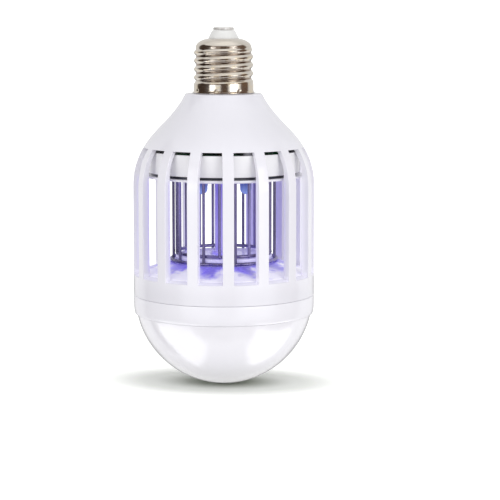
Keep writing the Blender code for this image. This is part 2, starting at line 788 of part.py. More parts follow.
def electrode(name, rods, ring_r, ring_level, material):
    """A set of upright wires welded to one ring at their foot."""
    bm = bmesh.new()
    turn(bm, arc_points((ring_r, ring_level), RING_WIRE_R, 0, 360, WIRE_SIDES)[:-1], WIRE_RING_SIDES)
    ring = as_object(name, bm, material)
    wires = bmesh.new()
    for centre in rods:
        cylinder(wires, centre, ROD_R, ring_level - RING_WIRE_R / 3, ROD_TOP, WIRE_SIDES)
    combine(ring, as_object(name + "_wires", wires), "UNION")


def uv_lamp(name, centre, material):
    """A round-nosed lamp with a flange and two leads up to its board."""
    flange_top = PLATE_TOP - FIT
    nose = UV_TIP + UV_R
    outline = [(0, flange_top), (UV_FLANGE_R, flange_top), (UV_FLANGE_R, flange_top - UV_FLANGE)]
    outline += [(UV_R, flange_top - UV_FLANGE)]
    outline += arc_points((0, nose), UV_R, 0, -67.5, 3)
    outline += [(0, UV_TIP)]
    bm = bmesh.new()
    turn(bm, outline, SMALL_SIDES, centre)
    lamp = as_object(name, bm, material)
    leads = bmesh.new()
    for side in (-1, 1):
        at = (centre[0] + side * UV_LEAD_PITCH, centre[1])
        length = UV_BOARD_BOTTOM - FIT - flange_top + UV_FLANGE / 2
        box(leads, at, (UV_LEAD, UV_LEAD, length), flange_top - UV_FLANGE / 2)
    combine(lamp, as_object(name + "_leads", leads), "UNION")


def uv_board(material):
    outline = [
        (CABLE_HOLE_R, UV_BOARD_BOTTOM),
        (UV_BOARD_R, UV_BOARD_BOTTOM),
        (UV_BOARD_R, UV_BOARD_BOTTOM + UV_BOARD),
        (CABLE_HOLE_R, UV_BOARD_BOTTOM + UV_BOARD),
    ]
    turned_piece("uv_lamp_board", outline, CAP_SIDES, material)


def centre_column(material):
    """Hollow post from the plate to the pedestal, which hides the leads of the white lamp."""
    upper = HUB_BOTTOM - FIT
    lower = PEDESTAL_TOP + FIT
    outline = [
        (COLUMN_BORE_R, ROD_TOP),
        (COLUMN_R, ROD_TOP),
        (COLUMN_R, upper),
        (COLUMN_FLANGE_R, upper),
        (COLUMN_FLANGE_R, upper - COLUMN_FLANGE),
        (COLUMN_R, upper - COLUMN_FLANGE),
        (COLUMN_R, lower + COLUMN_FLANGE),
        (COLUMN_FLANGE_R, lower + COLUMN_FLANGE),
        (COLUMN_FLANGE_R, lower),
        (COLUMN_R, lower),
        (COLUMN_R, PEDESTAL_TOP - COLUMN_FOOT),
        (COLUMN_BORE_R, PEDESTAL_TOP - COLUMN_FOOT),
    ]
    turned_piece("centre_column", outline, CAP_SIDES, material)


def cage_floor(material):
    """Sloping floor with the pedestal that the grid's rings stand on, and a lip under the housing's ledge."""
    inner_r = FLOOR_R - PEDESTAL_WALL
    outline = [
        (COLUMN_HOLE_R, PEDESTAL_TOP),
        (PEDESTAL_R, PEDESTAL_TOP),
        (PEDESTAL_R, FLOOR_TOP),
        (FLOOR_IN_R, FLOOR_TOP),
        (FLOOR_R, floor_level(FLOOR_R)),
        (FLOOR_R, FLOOR_LIP_TOP),
        (FLOOR_LIP_R, FLOOR_LIP_TOP),
        (FLOOR_LIP_R, FLOOR_LIP_BOTTOM),
        (inner_r, FLOOR_LIP_BOTTOM),
        (inner_r, floor_level(inner_r) - PEDESTAL_WALL),
        (FLOOR_IN_R - PEDESTAL_WALL, FLOOR_TOP - PEDESTAL_WALL),
        (PEDESTAL_R - PEDESTAL_WALL, FLOOR_TOP - PEDESTAL_WALL),
        (PEDESTAL_R - PEDESTAL_WALL, PEDESTAL_TOP - PEDESTAL_WALL),
        (COLUMN_HOLE_R, PEDESTAL_TOP - PEDESTAL_WALL),
    ]
    turned_piece("cage_floor", outline, DISC_SIDES, material)


# Driver board


def driver_board(material):
    bm = bmesh.new()
    cylinder(bm, (0, 0), BOARD_R, BOARD_BOTTOM, BOARD_TOP, DISC_SIDES)
    board = as_object("driver_board", bm, material)
    holes = bmesh.new()
    for centre in post_places():
        cylinder(holes, centre, BOARD_SCREW_R + FIT, BOARD_BOTTOM - CUT_PAST, BOARD_TOP + CUT_PAST)
    combine(board, as_object("board_holes", holes), "DIFFERENCE")


def supply_capacitor(material):
    """Aluminium can with its rolled groove near the foot."""
    radius, height = on_board((SUPPLY_CAPACITOR_R_SHARE, SUPPLY_CAPACITOR_HEIGHT_SHARE))
    top = BOARD_SEAT + height
    outline = [
        (0, BOARD_SEAT),
        (radius - 0.3, BOARD_SEAT),
        (radius, BOARD_SEAT + 0.3),
        (radius, BOARD_SEAT + 1.6),
        (radius - 0.5, BOARD_SEAT + 2.1),
        (radius, BOARD_SEAT + 2.6),
        (radius, top - 0.5),
        (radius - 0.5, top),
        (0, top),
    ]
    bm = bmesh.new()
    turn(bm, outline, CAP_SIDES, on_board(SUPPLY_CAPACITOR_PLACE_SHARE))
    as_object("supply_capacitor", bm, material)


def transformer(core_material, coil_material):
    """Ferrite frame with a centre leg, and the winding round that leg."""
    centre = on_board(CORE_PLACE_SHARE)
    width, depth, height = on_board(CORE_SIZE_SHARE)
    leg, space = on_board((CORE_LEG_SHARE, COIL_SPACE_SHARE))
    bm = bmesh.new()
    box(bm, centre, (width, depth, height), BOARD_SEAT)
    core = as_object("transformer_core", bm, core_material)
    window = (width - 3 * leg) / 2
    openings = bmesh.new()
    for side in (-1, 1):
        at = (centre[0] + side * (leg + window) / 2, centre[1])
        box(openings, at, (window, depth + 2 * CUT_PAST, height - 2 * leg), BOARD_SEAT + leg)
    combine(core, as_object("core_windows", openings), "DIFFERENCE")
    bore = (leg + 2 * FIT, depth + 2 * FIT)
    wire_depth = window - FIT - space
    coil_height = height - 2 * leg - 2 * FIT
    low = BOARD_SEAT + leg + FIT
    bm = bmesh.new()
    box(bm, centre, (bore[0] + 2 * wire_depth, bore[1] + 2 * wire_depth, coil_height), low)
    uprights = [edge for edge in bm.edges if abs(edge.verts[0].co.z - edge.verts[1].co.z) > coil_height / 2]
    bmesh.ops.bevel(bm, geom=uprights, offset=wire_depth * 0.8, segments=3, affect="EDGES")
    coil = as_object("transformer_coil", bm, coil_material)
    hole = bmesh.new()
    box(hole, centre, (*bore, coil_height + 2 * CUT_PAST), low - CUT_PAST)
    combine(coil, as_object("coil_bore", hole), "DIFFERENCE")


def rounded_block(name, place_share, size_share, edge, material):
    """A dipped or moulded block with softened edges, standing on the driver board."""
    bm = bmesh.new()
    box(bm, on_board(place_share), on_board(size_share), BOARD_SEAT)
    bmesh.ops.bevel(bm, geom=list(bm.edges), offset=edge, segments=2, affect="EDGES")
    as_object(name, bm, material)


def fuse_resistor(material):
    """A lying resistor with thick ends."""
    radius, length = on_board((FUSE_R_SHARE, FUSE_LENGTH_SHARE))
    half = length / 2
    waist = radius * 0.82
    outline = [
        (0, -half),
        (radius * 0.7, -half),
        (radius, -half * 0.85),
        (radius, -half * 0.55),
        (waist, -half * 0.42),
        (waist, half * 0.42),
        (radius, half * 0.55),
        (radius, half * 0.85),
        (radius * 0.7, half),
        (0, half),
    ]
    bm = bmesh.new()
    turn(bm, outline, SMALL_SIDES)
    bmesh.ops.rotate(bm, matrix=Matrix.Rotation(math.pi / 2, 3, "X"), verts=bm.verts)
    bmesh.ops.translate(bm, vec=(*on_board(FUSE_PLACE_SHARE), BOARD_SEAT + radius), verts=bm.verts)
    as_object("fuse_resistor", bm, material)


# Leads


def leads(live, neutral, grid, lamp):
    """Every lead stops a clearance short of what it is soldered to."""
    bore = SPIGOT_BORE_R - LEAD_R - 3 * FIT
    rim = SPIGOT_TOP + LEAD_R + 2 * FIT
    waist = (BOARD_SEAT + NECK_TOP) / 2
    x, y = on_board(LIVE_END_SHARE)
    route = [(0, 0, STEM_END - FIT), (0, 0, SPIGOT_TOP), (0, 0, SPIGOT_TOP - LIVE_DROP), (x / 3, y / 3, NECK_TOP - 1)]
    route += [(x, y, waist), (x, y, BOARD_SEAT)]
    tube_piece("live_lead", route, LEAD_R, live)
    x, y = on_board(NEUTRAL_END_SHARE)
    route = [(SPIGOT_R, 0, rim), (bore, 0, rim - 0.1), (bore - 1, 0.2, SPIGOT_TOP - 3), (bore - 1.5, 2, NECK_TOP)]
    route += [(x * 0.5, y * 0.9, waist), (x, y, BOARD_SEAT)]
    tube_piece("neutral_lead", route, LEAD_R, neutral)
    for name, centre in zip(("inner_grid_lead", "outer_grid_lead"), grid_lead_places()):
        route = [(*centre, BOARD_BOTTOM - FIT), (*centre, ROD_TOP + FIT)]
        tube_piece(name, route, GRID_LEAD_R, grid)
    for name, side in (("lamp_lead_positive", 1), ("lamp_lead_negative", -1)):
        x = side * LAMP_LEAD_PLACE
        tube_piece(name, [(x, 0, BOARD_BOTTOM - FIT), (x, 0, LAMP_BOARD_TOP + FIT)], LEAD_R, lamp)


# White lamp at the foot


def lamp_collar(material):
    """Ring between the cage and the dome: a spigot up into the band and a ledge inside for the heat spreader."""
    spread = BODY_R - COLLAR_END_R
    drop = COLLAR_EDGE - COLLAR_END
    turned_in = []
    for step in range(1, 4):
        share = math.radians(90.0 * step / 3)
        turned_in.append((BODY_R - spread * (1 - math.cos(share)), COLLAR_EDGE - drop * math.sin(share)))
    outline = [
        (COLLAR_BORE_R, COLLAR_SPIGOT_TOP),
        (COLLAR_SPIGOT_R, COLLAR_SPIGOT_TOP),
        (COLLAR_SPIGOT_R, COLLAR_TOP),
        (BODY_R, COLLAR_TOP),
        (BODY_R, COLLAR_EDGE),
        *turned_in,
        (DOME_RIM_R + FIT, COLLAR_END),
        (DOME_RIM_R + FIT, COLLAR_LEDGE_BOTTOM),
        (COLLAR_LEDGE_R, COLLAR_LEDGE_BOTTOM),
        (COLLAR_LEDGE_R, COLLAR_LEDGE_TOP),
        (COLLAR_BORE_R, COLLAR_LEDGE_TOP),
    ]
    collar = turned_piece("lamp_collar", outline, BODY_SIDES, material)
    holes = bmesh.new()
    for centre in spreader_screw_places():
        cylinder(holes, centre, SCREW_R + FIT, COLLAR_LEDGE_BOTTOM - CUT_PAST, COLLAR_LEDGE_TOP + CUT_PAST)
    combine(collar, as_object("collar_holes", holes), "DIFFERENCE")


def spreader_screw_places():
    return [place(SPREADER_SCREW_RING_R, angle) for angle in around(SPREADER_SCREW_COUNT, 0)]


def heat_spreader(material):
    outline = [
        (CABLE_HOLE_R, SPREADER_BOTTOM),
        (COLLAR_BORE_R - FIT, SPREADER_BOTTOM),
        (COLLAR_BORE_R - FIT, SPREADER_TOP),
        (CABLE_HOLE_R, SPREADER_TOP),
    ]
    plate = turned_piece("heat_spreader", outline, DISC_SIDES, material)
    holes = bmesh.new()
    for centre in spreader_screw_places():
        cylinder(holes, centre, SCREW_R + FIT, SPREADER_BOTTOM - CUT_PAST, SPREADER_TOP + CUT_PAST)
    combine(plate, as_object("spreader_holes", holes), "DIFFERENCE")


def lamp_board(material):
    bm = bmesh.new()
    cylinder(bm, (0, 0), COLLAR_LEDGE_R - FIT, LAMP_BOARD_BOTTOM, LAMP_BOARD_TOP, DISC_SIDES)
    as_object("lamp_board", bm, material)


def lamp_leds(material):
    """White light diodes in a ring under the lamp board."""
    low = LAMP_BOARD_BOTTOM - FIT - LAMP_LED_SIZE[2]
    for index, angle in enumerate(around(LAMP_LED_COUNT, 0)):
        bm = bmesh.new()
        box(bm, (0, 0), LAMP_LED_SIZE, low)
        bmesh.ops.rotate(bm, matrix=Matrix.Rotation(math.radians(angle), 3, "Z"), verts=bm.verts)
        bmesh.ops.translate(bm, vec=(*place(LAMP_LED_RING_R, angle), 0), verts=bm.verts)
        as_object(f"lamp_led_{index + 1}", bm, material)


def light_dome(material):
    """Round bowl whose rim plugs into the collar."""
    seat_angle = math.degrees(math.asin((DOME_SEAT - DOME_CENTRE) / DOME_R))
    outside = arc_points((0, DOME_CENTRE), DOME_R, -90, seat_angle, 10)
    inner_r = DOME_R - DOME_WALL
    bore = DOME_RIM_R - DOME_RIM_WALL
    rim_angle = -math.degrees(math.acos(bore / inner_r))
    inside = arc_points((0, DOME_CENTRE), inner_r, rim_angle, -90, 7)
    outline = [(0, DOME_BOTTOM)] + outside[1:]
    outline += [(DOME_RIM_R, DOME_SEAT), (DOME_RIM_R, DOME_RIM_TOP), (bore, DOME_RIM_TOP)]
    outline += inside[:-1] + [(0, DOME_BOTTOM + DOME_WALL)]
    turned_piece("light_dome", outline, DISC_SIDES, material)


def build():
    clear_scene()
    nickel = finish("nickel_plate", (0.62, 0.58, 0.53), 0.25, metallic=1.0)
    contact = finish("contact_metal", (0.70, 0.66, 0.60), 0.3, metallic=1.0)
    ivory = finish("insulator_white", (0.86, 0.85, 0.82), 0.35)
    white = finish("housing_white", (0.86, 0.86, 0.90), 0.25)
    grey = finish("cup_grey", (0.80, 0.80, 0.84), 0.4)
    steel = finish("grid_wire", (0.42, 0.40, 0.46), 0.3, metallic=1.0)
    violet = finish("violet_lens", (0.18, 0.25, 0.80), 0.1, transmission=0.3, glow=0.5)
    column = finish("column_white", (0.84, 0.83, 0.92), 0.3)
    board = finish("board_green", (0.05, 0.25, 0.12), 0.5)
    can = finish("capacitor_sleeve", (0.06, 0.07, 0.12), 0.4)
    ferrite = finish("ferrite", (0.05, 0.05, 0.05), 0.6)
    copper = finish("winding_tape", (0.75, 0.55, 0.15), 0.5)
    dipped = finish("capacitor_red", (0.45, 0.08, 0.05), 0.35)
    ceramic = finish("resistor_body", (0.30, 0.45, 0.35), 0.5)
    black = finish("chip_black", (0.02, 0.02, 0.02), 0.5)
    zinc = finish("screw_zinc", (0.65, 0.65, 0.66), 0.35, metallic=1.0)
    aluminium = finish("aluminium_plate", (0.78, 0.78, 0.79), 0.4, metallic=1.0)
    mask = finish("lamp_board_white", (0.88, 0.88, 0.86), 0.4)
    phosphor = finish("phosphor", (0.90, 0.75, 0.25), 0.4)
    milky = finish("milky_dome", (0.90, 0.90, 0.92), 0.15, transmission=0.1)
    red = finish("lead_red", (0.55, 0.04, 0.03), 0.45)
    dark = finish("lead_black", (0.03, 0.03, 0.03), 0.45)
    pale = finish("lead_white", (0.80, 0.80, 0.78), 0.45)

    centre_contact(contact)
    cap_insulator(ivory)
    screw_shell(nickel)
    cage_housing(white)
    upper_cup(grey)
    grid_plate(white)
    electrode("inner_electrode", inner_rods(), INNER_RING_R, INNER_RING_LEVEL, steel)
    electrode("outer_electrode", outer_rods(), OUTER_RING_R, OUTER_RING_LEVEL, steel)
    for index, centre in enumerate(uv_places()):
        uv_lamp(f"uv_lamp_{index + 1}", centre, violet)
    uv_board(board)
    centre_column(column)
    cage_floor(white)

    driver_board(board)
    supply_capacitor(can)
    transformer(ferrite, copper)
    x, y = GRID_CAPACITOR_PLACE_SHARE
    for index in range(GRID_CAPACITOR_COUNT):
        share = (x, y - index * GRID_CAPACITOR_STEP_SHARE)
        rounded_block(f"grid_capacitor_{index + 1}", share, GRID_CAPACITOR_SIZE_SHARE, 0.8, dipped)
    fuse_resistor(ceramic)
    rounded_block("bridge_rectifier", RECTIFIER_PLACE_SHARE, RECTIFIER_SIZE_SHARE, 0.3, black)
    rounded_block("driver_chip", CHIP_PLACE_SHARE, CHIP_SIZE_SHARE, 0.2, black)
    leads(red, dark, pale, pale)

    for index, centre in enumerate(boss_places()):
        screw_piece(f"plate_screw_{index + 1}", centre, countersunk_screw_outline(), zinc)
    for index, centre in enumerate(post_places()):
        outline = pan_screw_outline(
            BOARD_SEAT, BOARD_SCREW_HEAD_R, BOARD_SCREW_HEAD, BOARD_SCREW_R, BOARD_SCREW_LENGTH
        )
        screw_piece(f"board_screw_{index + 1}", centre, outline, zinc)
    length = SPREADER_TOP + FIT - COLLAR_LEDGE_BOTTOM - FIT
    for index, centre in enumerate(spreader_screw_places()):
        outline = pan_screw_outline(
            SPREADER_TOP + FIT, SPREADER_SCREW_HEAD_R, SPREADER_SCREW_HEAD, SCREW_R, length
        )
        screw_piece(f"spreader_screw_{index + 1}", centre, outline, zinc)

    heat_spreader(aluminium)
    lamp_board(mask)
    lamp_leds(phosphor)
    lamp_collar(white)
    light_dome(milky)


build()
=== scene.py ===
import math

import bmesh
import bpy
from mathutils import Matrix, Vector


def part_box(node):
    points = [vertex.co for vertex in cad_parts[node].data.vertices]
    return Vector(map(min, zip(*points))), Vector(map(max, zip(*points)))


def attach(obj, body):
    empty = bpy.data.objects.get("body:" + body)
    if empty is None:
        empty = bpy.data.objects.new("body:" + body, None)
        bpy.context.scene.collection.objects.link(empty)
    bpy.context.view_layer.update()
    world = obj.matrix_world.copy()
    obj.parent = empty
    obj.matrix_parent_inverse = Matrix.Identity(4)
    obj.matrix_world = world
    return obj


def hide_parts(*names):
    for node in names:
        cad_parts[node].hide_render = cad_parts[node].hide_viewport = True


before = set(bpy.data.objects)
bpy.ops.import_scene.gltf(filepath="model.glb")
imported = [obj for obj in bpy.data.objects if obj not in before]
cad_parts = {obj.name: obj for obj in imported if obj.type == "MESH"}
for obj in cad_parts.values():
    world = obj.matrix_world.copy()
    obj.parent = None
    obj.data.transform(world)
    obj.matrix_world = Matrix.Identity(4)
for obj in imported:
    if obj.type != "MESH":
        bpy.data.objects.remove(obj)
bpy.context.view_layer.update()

# Lengths are in millimetres until a mesh is made. Angles are in degrees from the front towards +X.
MM = 0.001
# Room between parts that fit into each other, angle past which an edge is sharp, steps of a rounded corner
FIT, SHARP, CORNER_STEPS = 0.3, 35.0, 4

# Screw cap
MOUTH_R, SHOULDER_R, CREST_R, SKIRT_R = 6.9, 12.3, 13.15, 13.2
SHELL_TOP, SHOULDER_DROP, THREAD_TOP, THREAD_END, SHELL_END = -5.0, 3.8, -8.9, -24.9, -28.6
SHOULDER_SHARE, SHOULDER_POWER = 0.16, 1.3
THREAD_DEPTH, THREAD_PITCH, THREAD_CREST_LEVEL, THREAD_FADE = 1.0, 3.629, -10.23, 1.8
SKIRT_FLARE, FLARE_HEIGHT, SHEET = 0.3, 1.1, 0.35
DIMPLE_COUNT, FIRST_DIMPLE, DIMPLE_R, DIMPLE_DEPTH, DIMPLE_HEIGHT = 8, -5.5, 0.75, 0.45, 1.35
CONTACT_R, CONTACT_FOOT, STEM_R, STEM_END = 4.6, -1.2, 1.3, -7.0
CONE_RIM_R, CONE_FOOT, FLANGE_R = 4.8, -4.6, 9.2

# Cage housing
BODY_R, CAGE_INNER_R, WALL = 40.0, 36.8, 2.0
SPIGOT_BORE_R, SPIGOT_R, SPIGOT_FOOT_R, SPIGOT_TOP, SPIGOT_STEP = 9.5, 11.5, 12.55, -13.0, -25.2
GROOVE_R, GROOVE_FLOOR = 13.8, -29.3
NECK_R, NECK_TOP, NECK_ROUND, NECK_POINTS = 17.2, -28.9, 0.8, 5
FOOT, WAIST, SHOULDER_END = (17.6, -30.2), (26.6, -41.9), -69.0
RIB_COUNT, RIB_WIDTH, FIRST_RIB, RIB_EASING = 16, 4.8, 11.25, 0.45
WINDOW_TOP, SILL, BAND_END = -52.4, -108.6, -117.5
FLOOR_TOP, FLOOR_IN_R, FLOOR_SLOPE = -102.85, 24.2, 5.75 / 15.8
INNER_SILL = SILL + FLOOR_SLOPE * (BODY_R - CAGE_INNER_R)
LEDGE_BOTTOM = INNER_SILL - 3.4
BOSS_RING_R, BOSS_ANGLE, BOSS_COUNT, BOSS_R, BOSS_BORE_R, BOSS_FOOT = 28.6, 30.0, 3, 2.4, 1.8, -61.1

# Grid, lamps and what carries them
CUP_R, CUP_TOP, CUP_BOTTOM, CUP_FLOOR_TOP, CUP_WALL, CABLE_HOLE_R = 33.4, -53.9, -63.2, -61.4, 1.6, 3.0
PLATE_STEP_R, PLATE_RIM_R, HUB_R = 31.6, 34.8, 24.5
PLATE_TOP, PLATE_RIM_TOP, PLATE_RIM_BOTTOM, HUB_BOTTOM = -63.5, -64.4, -65.3, -66.6
DRILL_LOW, DRILL_HIGH, SCREW_R, SCREW_HEAD_R, SCREW_FACE = -68.0, -62.0, 1.5, 2.6, -65.2
ROD_COUNT, ROD_R, RING_WIRE_R, ROD_ANGLE, ROD_TOP = 10, 0.65, 0.75, 21.45, -64.1
OUTER_ROD_R, OUTER_RING_R, OUTER_RING_LEVEL = 22.4, 23.2, -101.8
INNER_ROD_R, INNER_RING_R, INNER_RING_LEVEL = 21.2, 20.6, -98.8
INNER_ROD_ANGLE = ROD_ANGLE + 180.0 / ROD_COUNT
UV_COUNT, UV_RING_R, UV_ANGLE, UV_R, UV_TIP = 4, 13.52, 53.45, 2.5, -72.5
UV_FLANGE_R, UV_FLANGE_TOP, UV_FLANGE_FOOT = 2.9, -63.8, -64.8
UV_LEAD_OFFSET, UV_LEAD_WIDTH, UV_LEAD_LENGTH, UV_LEAD_LEVEL = 1.27, 0.5, 3.0, -62.8
COLUMN_R, COLUMN_BORE_R, COLUMN_RING_R, COLUMN_RING, COLUMN_TENON = 3.9, 2.6, 5.2, 1.2, 3.2
PEDESTAL_R, PEDESTAL_TOP, PEDESTAL_HOLE_R, FLOOR_WALL = 21.4, -99.85, 4.2, 1.8
FLOOR_STEP_R, PEDESTAL_INSIDE_R = 22.4, 19.6

# Light at the foot
DOME_R, DOME_CENTRE, DOME_SEAT, DOME_RIM_R, DOME_RIM_TOP, DOME_WALL = 39.4, -118.2, -126.3, 37.3, -120.6, 1.6
COLLAR_TOP, COLLAR_EDGE, COLLAR_END, COLLAR_END_R, COLLAR_TURN = -117.6, -121.7, -126.15, 39.2, 0.8
LIP_R, LIP = 37.7, 1.5
SPREADER_LEDGE_R, SPREADER_LEDGE_TOP, SPREADER_LEDGE_FOOT = 30.6, -118.3, -120.3
COLLAR_SEAT_R, COLLAR_BORE_R = 37.6, 35.9

# View
VIEW_TURN, VIEW_DOWN, VIEW_DISTANCE, VIEW_SIDE, VIEW_LEVEL, FOCAL = 7.67, 7.53, 850.0, 8.45, 14.0, 139.1

# Colours of the finishes
WHITE = (0.870, 0.860, 0.920)
# Violet painted onto white surfaces as the light of the violet lamps.
PAINTED_VIOLET_LIGHT = (0.50, 0.44, 0.95)
PURE_WHITE = (1.0, 1.0, 1.0)
CARD_BROWN = (0.075, 0.050, 0.038)


# Node trees


def operator(operation):
    """A method that makes a Math node of the value and what follows it."""
    return lambda self, *others: self.maths(operation, *others)


def reflected(operation):
    """The same with the value as the second number."""
    return lambda self, other: self.graph.node("ShaderNodeMath", {0: other, 1: self}, operation=operation)


class Value:
    """A socket of a node tree that takes part in Python arithmetic."""

    def __init__(self, graph, socket):
        self.graph, self.socket = graph, socket

    def maths(self, operation, *others):
        return self.graph.node("ShaderNodeMath", dict(enumerate((self, *others))), operation=operation)

    __add__, __radd__ = operator("ADD"), reflected("ADD")
    __sub__, __rsub__ = operator("SUBTRACT"), reflected("SUBTRACT")
    __mul__, __rmul__ = operator("MULTIPLY"), reflected("MULTIPLY")
    __truediv__, __rtruediv__ = operator("DIVIDE"), reflected("DIVIDE")
    __pow__, __abs__ = operator("POWER"), operator("ABSOLUTE")
    __gt__, __lt__ = operator("GREATER_THAN"), operator("LESS_THAN")
    sin, cos, root = operator("SINE"), operator("COSINE"), operator("SQRT")
    at_least, at_most = operator("MAXIMUM"), operator("MINIMUM")

    def __neg__(self):
        return 0.0 - self

    def wrapped(self, low, high):
        return self.maths("WRAP", high, low)

    def share(self, start, end, **settings):
        """Goes evenly from 0 at start to 1 at end, and stays there."""
        sockets = {"Value": self, "From Min": start, "From Max": end}
        return self.graph.node("ShaderNodeMapRange", sockets, **settings)

    def ramp(self, start, end):
        """Goes smoothly from 0 at start to 1 at end, and stays there."""
        return self.share(start, end, interpolation_type="SMOOTHSTEP")

    def out(self, name):
        """Another output of the same node."""
        return Value(self.graph, self.socket.node.outputs[name])


class Graph:
    """Makes the nodes of one tree."""

    def __init__(self, tree):
        self.tree = tree

    def feed(self, socket, value):
        if isinstance(value, Value):
            self.tree.links.new(value.socket, socket)
        elif isinstance(value, tuple) and len(value) == 3 and socket.type == "RGBA":
            socket.default_value = (*value, 1.0)
        else:
            socket.default_value = value

    def node(self, kind, sockets=None, output=0, **settings):
        """A new node's output, once its settings are made and its sockets are fed."""
        made = self.tree.nodes.new(kind)
        for name, value in settings.items():
            setattr(made, name, value)
        for name, value in (sockets or {}).items():
            self.feed(made.inputs[name], value)
        return Value(self, made.outputs[output]) if len(made.outputs) else None

    def mix(self, factor, first, second):
        """Mixes two colours, which a Mix node takes in sockets 6 and 7 and gives in output 2."""
        return self.node("ShaderNodeMix", {0: factor, 6: first, 7: second}, 2, data_type="RGBA")

    def vector(self, operation, *values, output=0):
        return self.node("ShaderNodeVectorMath", dict(enumerate(values)), output, operation=operation)


def cleared(owner):
    """The node tree of a material or world, emptied."""
    owner.use_nodes = True
    owner.node_tree.nodes.clear()
    return Graph(owner.node_tree)


class Finish(Graph):
    """A material, with object coordinates in millimetres and its Principled shader."""

    def __init__(self, name, colour, roughness, metallic=0.0, **constants):
        self.material = bpy.data.materials.new(name)
        self.material.use_nodes = True
        super().__init__(self.material.node_tree)
        self.shader = self.tree.nodes["Principled BSDF"]
        self.colour, self.roughness = colour, roughness
        for socket, value in {"Metallic": metallic, **constants}.items():
            self.set(socket.replace("_", " "), value)
        place = {0: self.node("ShaderNodeTexCoord", output="Object"), "Scale": 1.0 / MM}
        self.at = self.node("ShaderNodeVectorMath", place, operation="SCALE")
        parts = self.node("ShaderNodeSeparateXYZ", {0: self.at})
        self.x, self.y, self.level = parts.out("X"), parts.out("Y"), parts.out("Z")
        self.radius = (self.x * self.x + self.y * self.y).root()

    def set(self, name, value):
        self.feed(self.shader.inputs[name], value)

    def noise(self, size, detail=3.0, stretch=(1.0, 1.0, 1.0)):
        """Noise whose features are about this many millimetres wide, from 0 to 1."""
        place = self.vector("MULTIPLY", self.at, stretch)
        return self.node("ShaderNodeTexNoise", {"Vector": place, "Scale": 1.0 / size, "Detail": detail})

    def cells(self, size, output="Distance", feature="F1"):
        sockets = {"Vector": self.at, "Scale": 1.0 / size}
        return self.node("ShaderNodeTexVoronoi", sockets, output, feature=feature)

    def bump(self, height, depth):
        """Raises the surface by up to this many millimetres where the height is 1."""
        sockets = {"Height": height, "Distance": depth * MM, "Strength": 1.0}
        self.set("Normal", self.node("ShaderNodeBump", sockets))

    def glow(self, colour, strength):
        self.set("Emission Color", colour)
        self.set("Emission Strength", strength)

    def done(self):
        self.set("Base Color", self.colour)
        self.set("Roughness", self.roughness)
        return self.material


def shaded(colour, factor):
    return tuple(min(1.0, channel * factor) for channel in colour)


def moulded(name, colour, roughness, grain=0.012, **constants):
    """Moulded plastic: faint flow marks, a fine grain, and handling that dulls the gloss in places."""
    finish = Finish(name, colour, roughness, **constants)
    flow = finish.noise(14.0, 4.0, (1.0, 1.0, 0.5))
    finish.colour = finish.mix(flow, shaded(colour, 0.965), shaded(colour, 1.02))
    touched = finish.noise(6.0, 5.0)
    finish.roughness = roughness * 0.8 + touched * (roughness * 0.45)
    finish.bump(finish.noise(0.45, 2.0) * 0.6 + finish.noise(3.5, 2.0) * 0.4, grain)
    return finish


def housing_plastic():
    """White moulding with painted light: violet light inside the cage, a glow of daylight on its right-hand inner
    faces and a grey glow on its inner sills, and painted shade on the neck and the band.
    """
    finish = moulded("housing_white", WHITE, 0.22, Coat_Weight=0.25, Coat_Roughness=0.08)
    skin_r = BODY_R - 0.4
    # Painted violet light of the lamps on the inner faces between the sill and the plate. It fades out towards the
    # right, where painted daylight takes over.
    lit = finish.level.ramp(-108.4, -103.5) * finish.level.ramp(-63.0, -67.0)
    violet = finish.radius.ramp(skin_r, 34.0) * lit
    towards_daylight = finish.x * 0.99 + finish.y * 0.15
    reach = violet * towards_daylight.ramp(31.0, 23.0)
    # Painted daylight: a pale glow on the right-hand inner faces.
    daylit = (violet * 1.8).at_most(1.0) * towards_daylight.ramp(27.0, 33.0)
    # Painted shade: darker towards the neck above the windows, and a little darker on the band below the sills.
    painted_shade = finish.level.ramp(-62.0, -45.0) * 0.085 + finish.level.ramp(-108.0, -115.0) * 0.05
    finish.colour = finish.mix(painted_shade, finish.colour, (0.0, 0.0, 0.03))
    finish.colour = finish.mix(reach * 0.55, finish.colour, PAINTED_VIOLET_LIGHT)
    # Painted light: the emission is a violet glow where the violet light is painted, a pale glow of daylight on
    # the right-hand inner faces, and a grey glow on the inner sills.
    sill = finish.level.ramp(-109.0, -108.5) * finish.level.ramp(-105.5, -107.0) * (finish.radius < skin_r)
    glow = finish.mix(reach, (0.0, 0.0, 0.0), (0.28, 0.20, 1.0))
    glow = finish.mix(daylit, glow, (0.58, 0.57, 0.60))
    finish.glow(finish.mix(sill, glow, (0.26, 0.25, 0.34)), 0.32)
    return finish.done()


def plate_plastic():
    """White plate: violet light towards its middle, and shadow in the groove above its rim."""
    finish = moulded("plate_white", WHITE, 0.3)
    lit = finish.mix(finish.radius.ramp(30.0, 12.0) * 0.6, finish.colour, PAINTED_VIOLET_LIGHT)
    groove = (finish.level > PLATE_RIM_TOP - 0.1) * (finish.radius < PLATE_STEP_R + 0.4)
    finish.colour = finish.mix(groove, lit, (0.05, 0.05, 0.07))
    return finish.done()


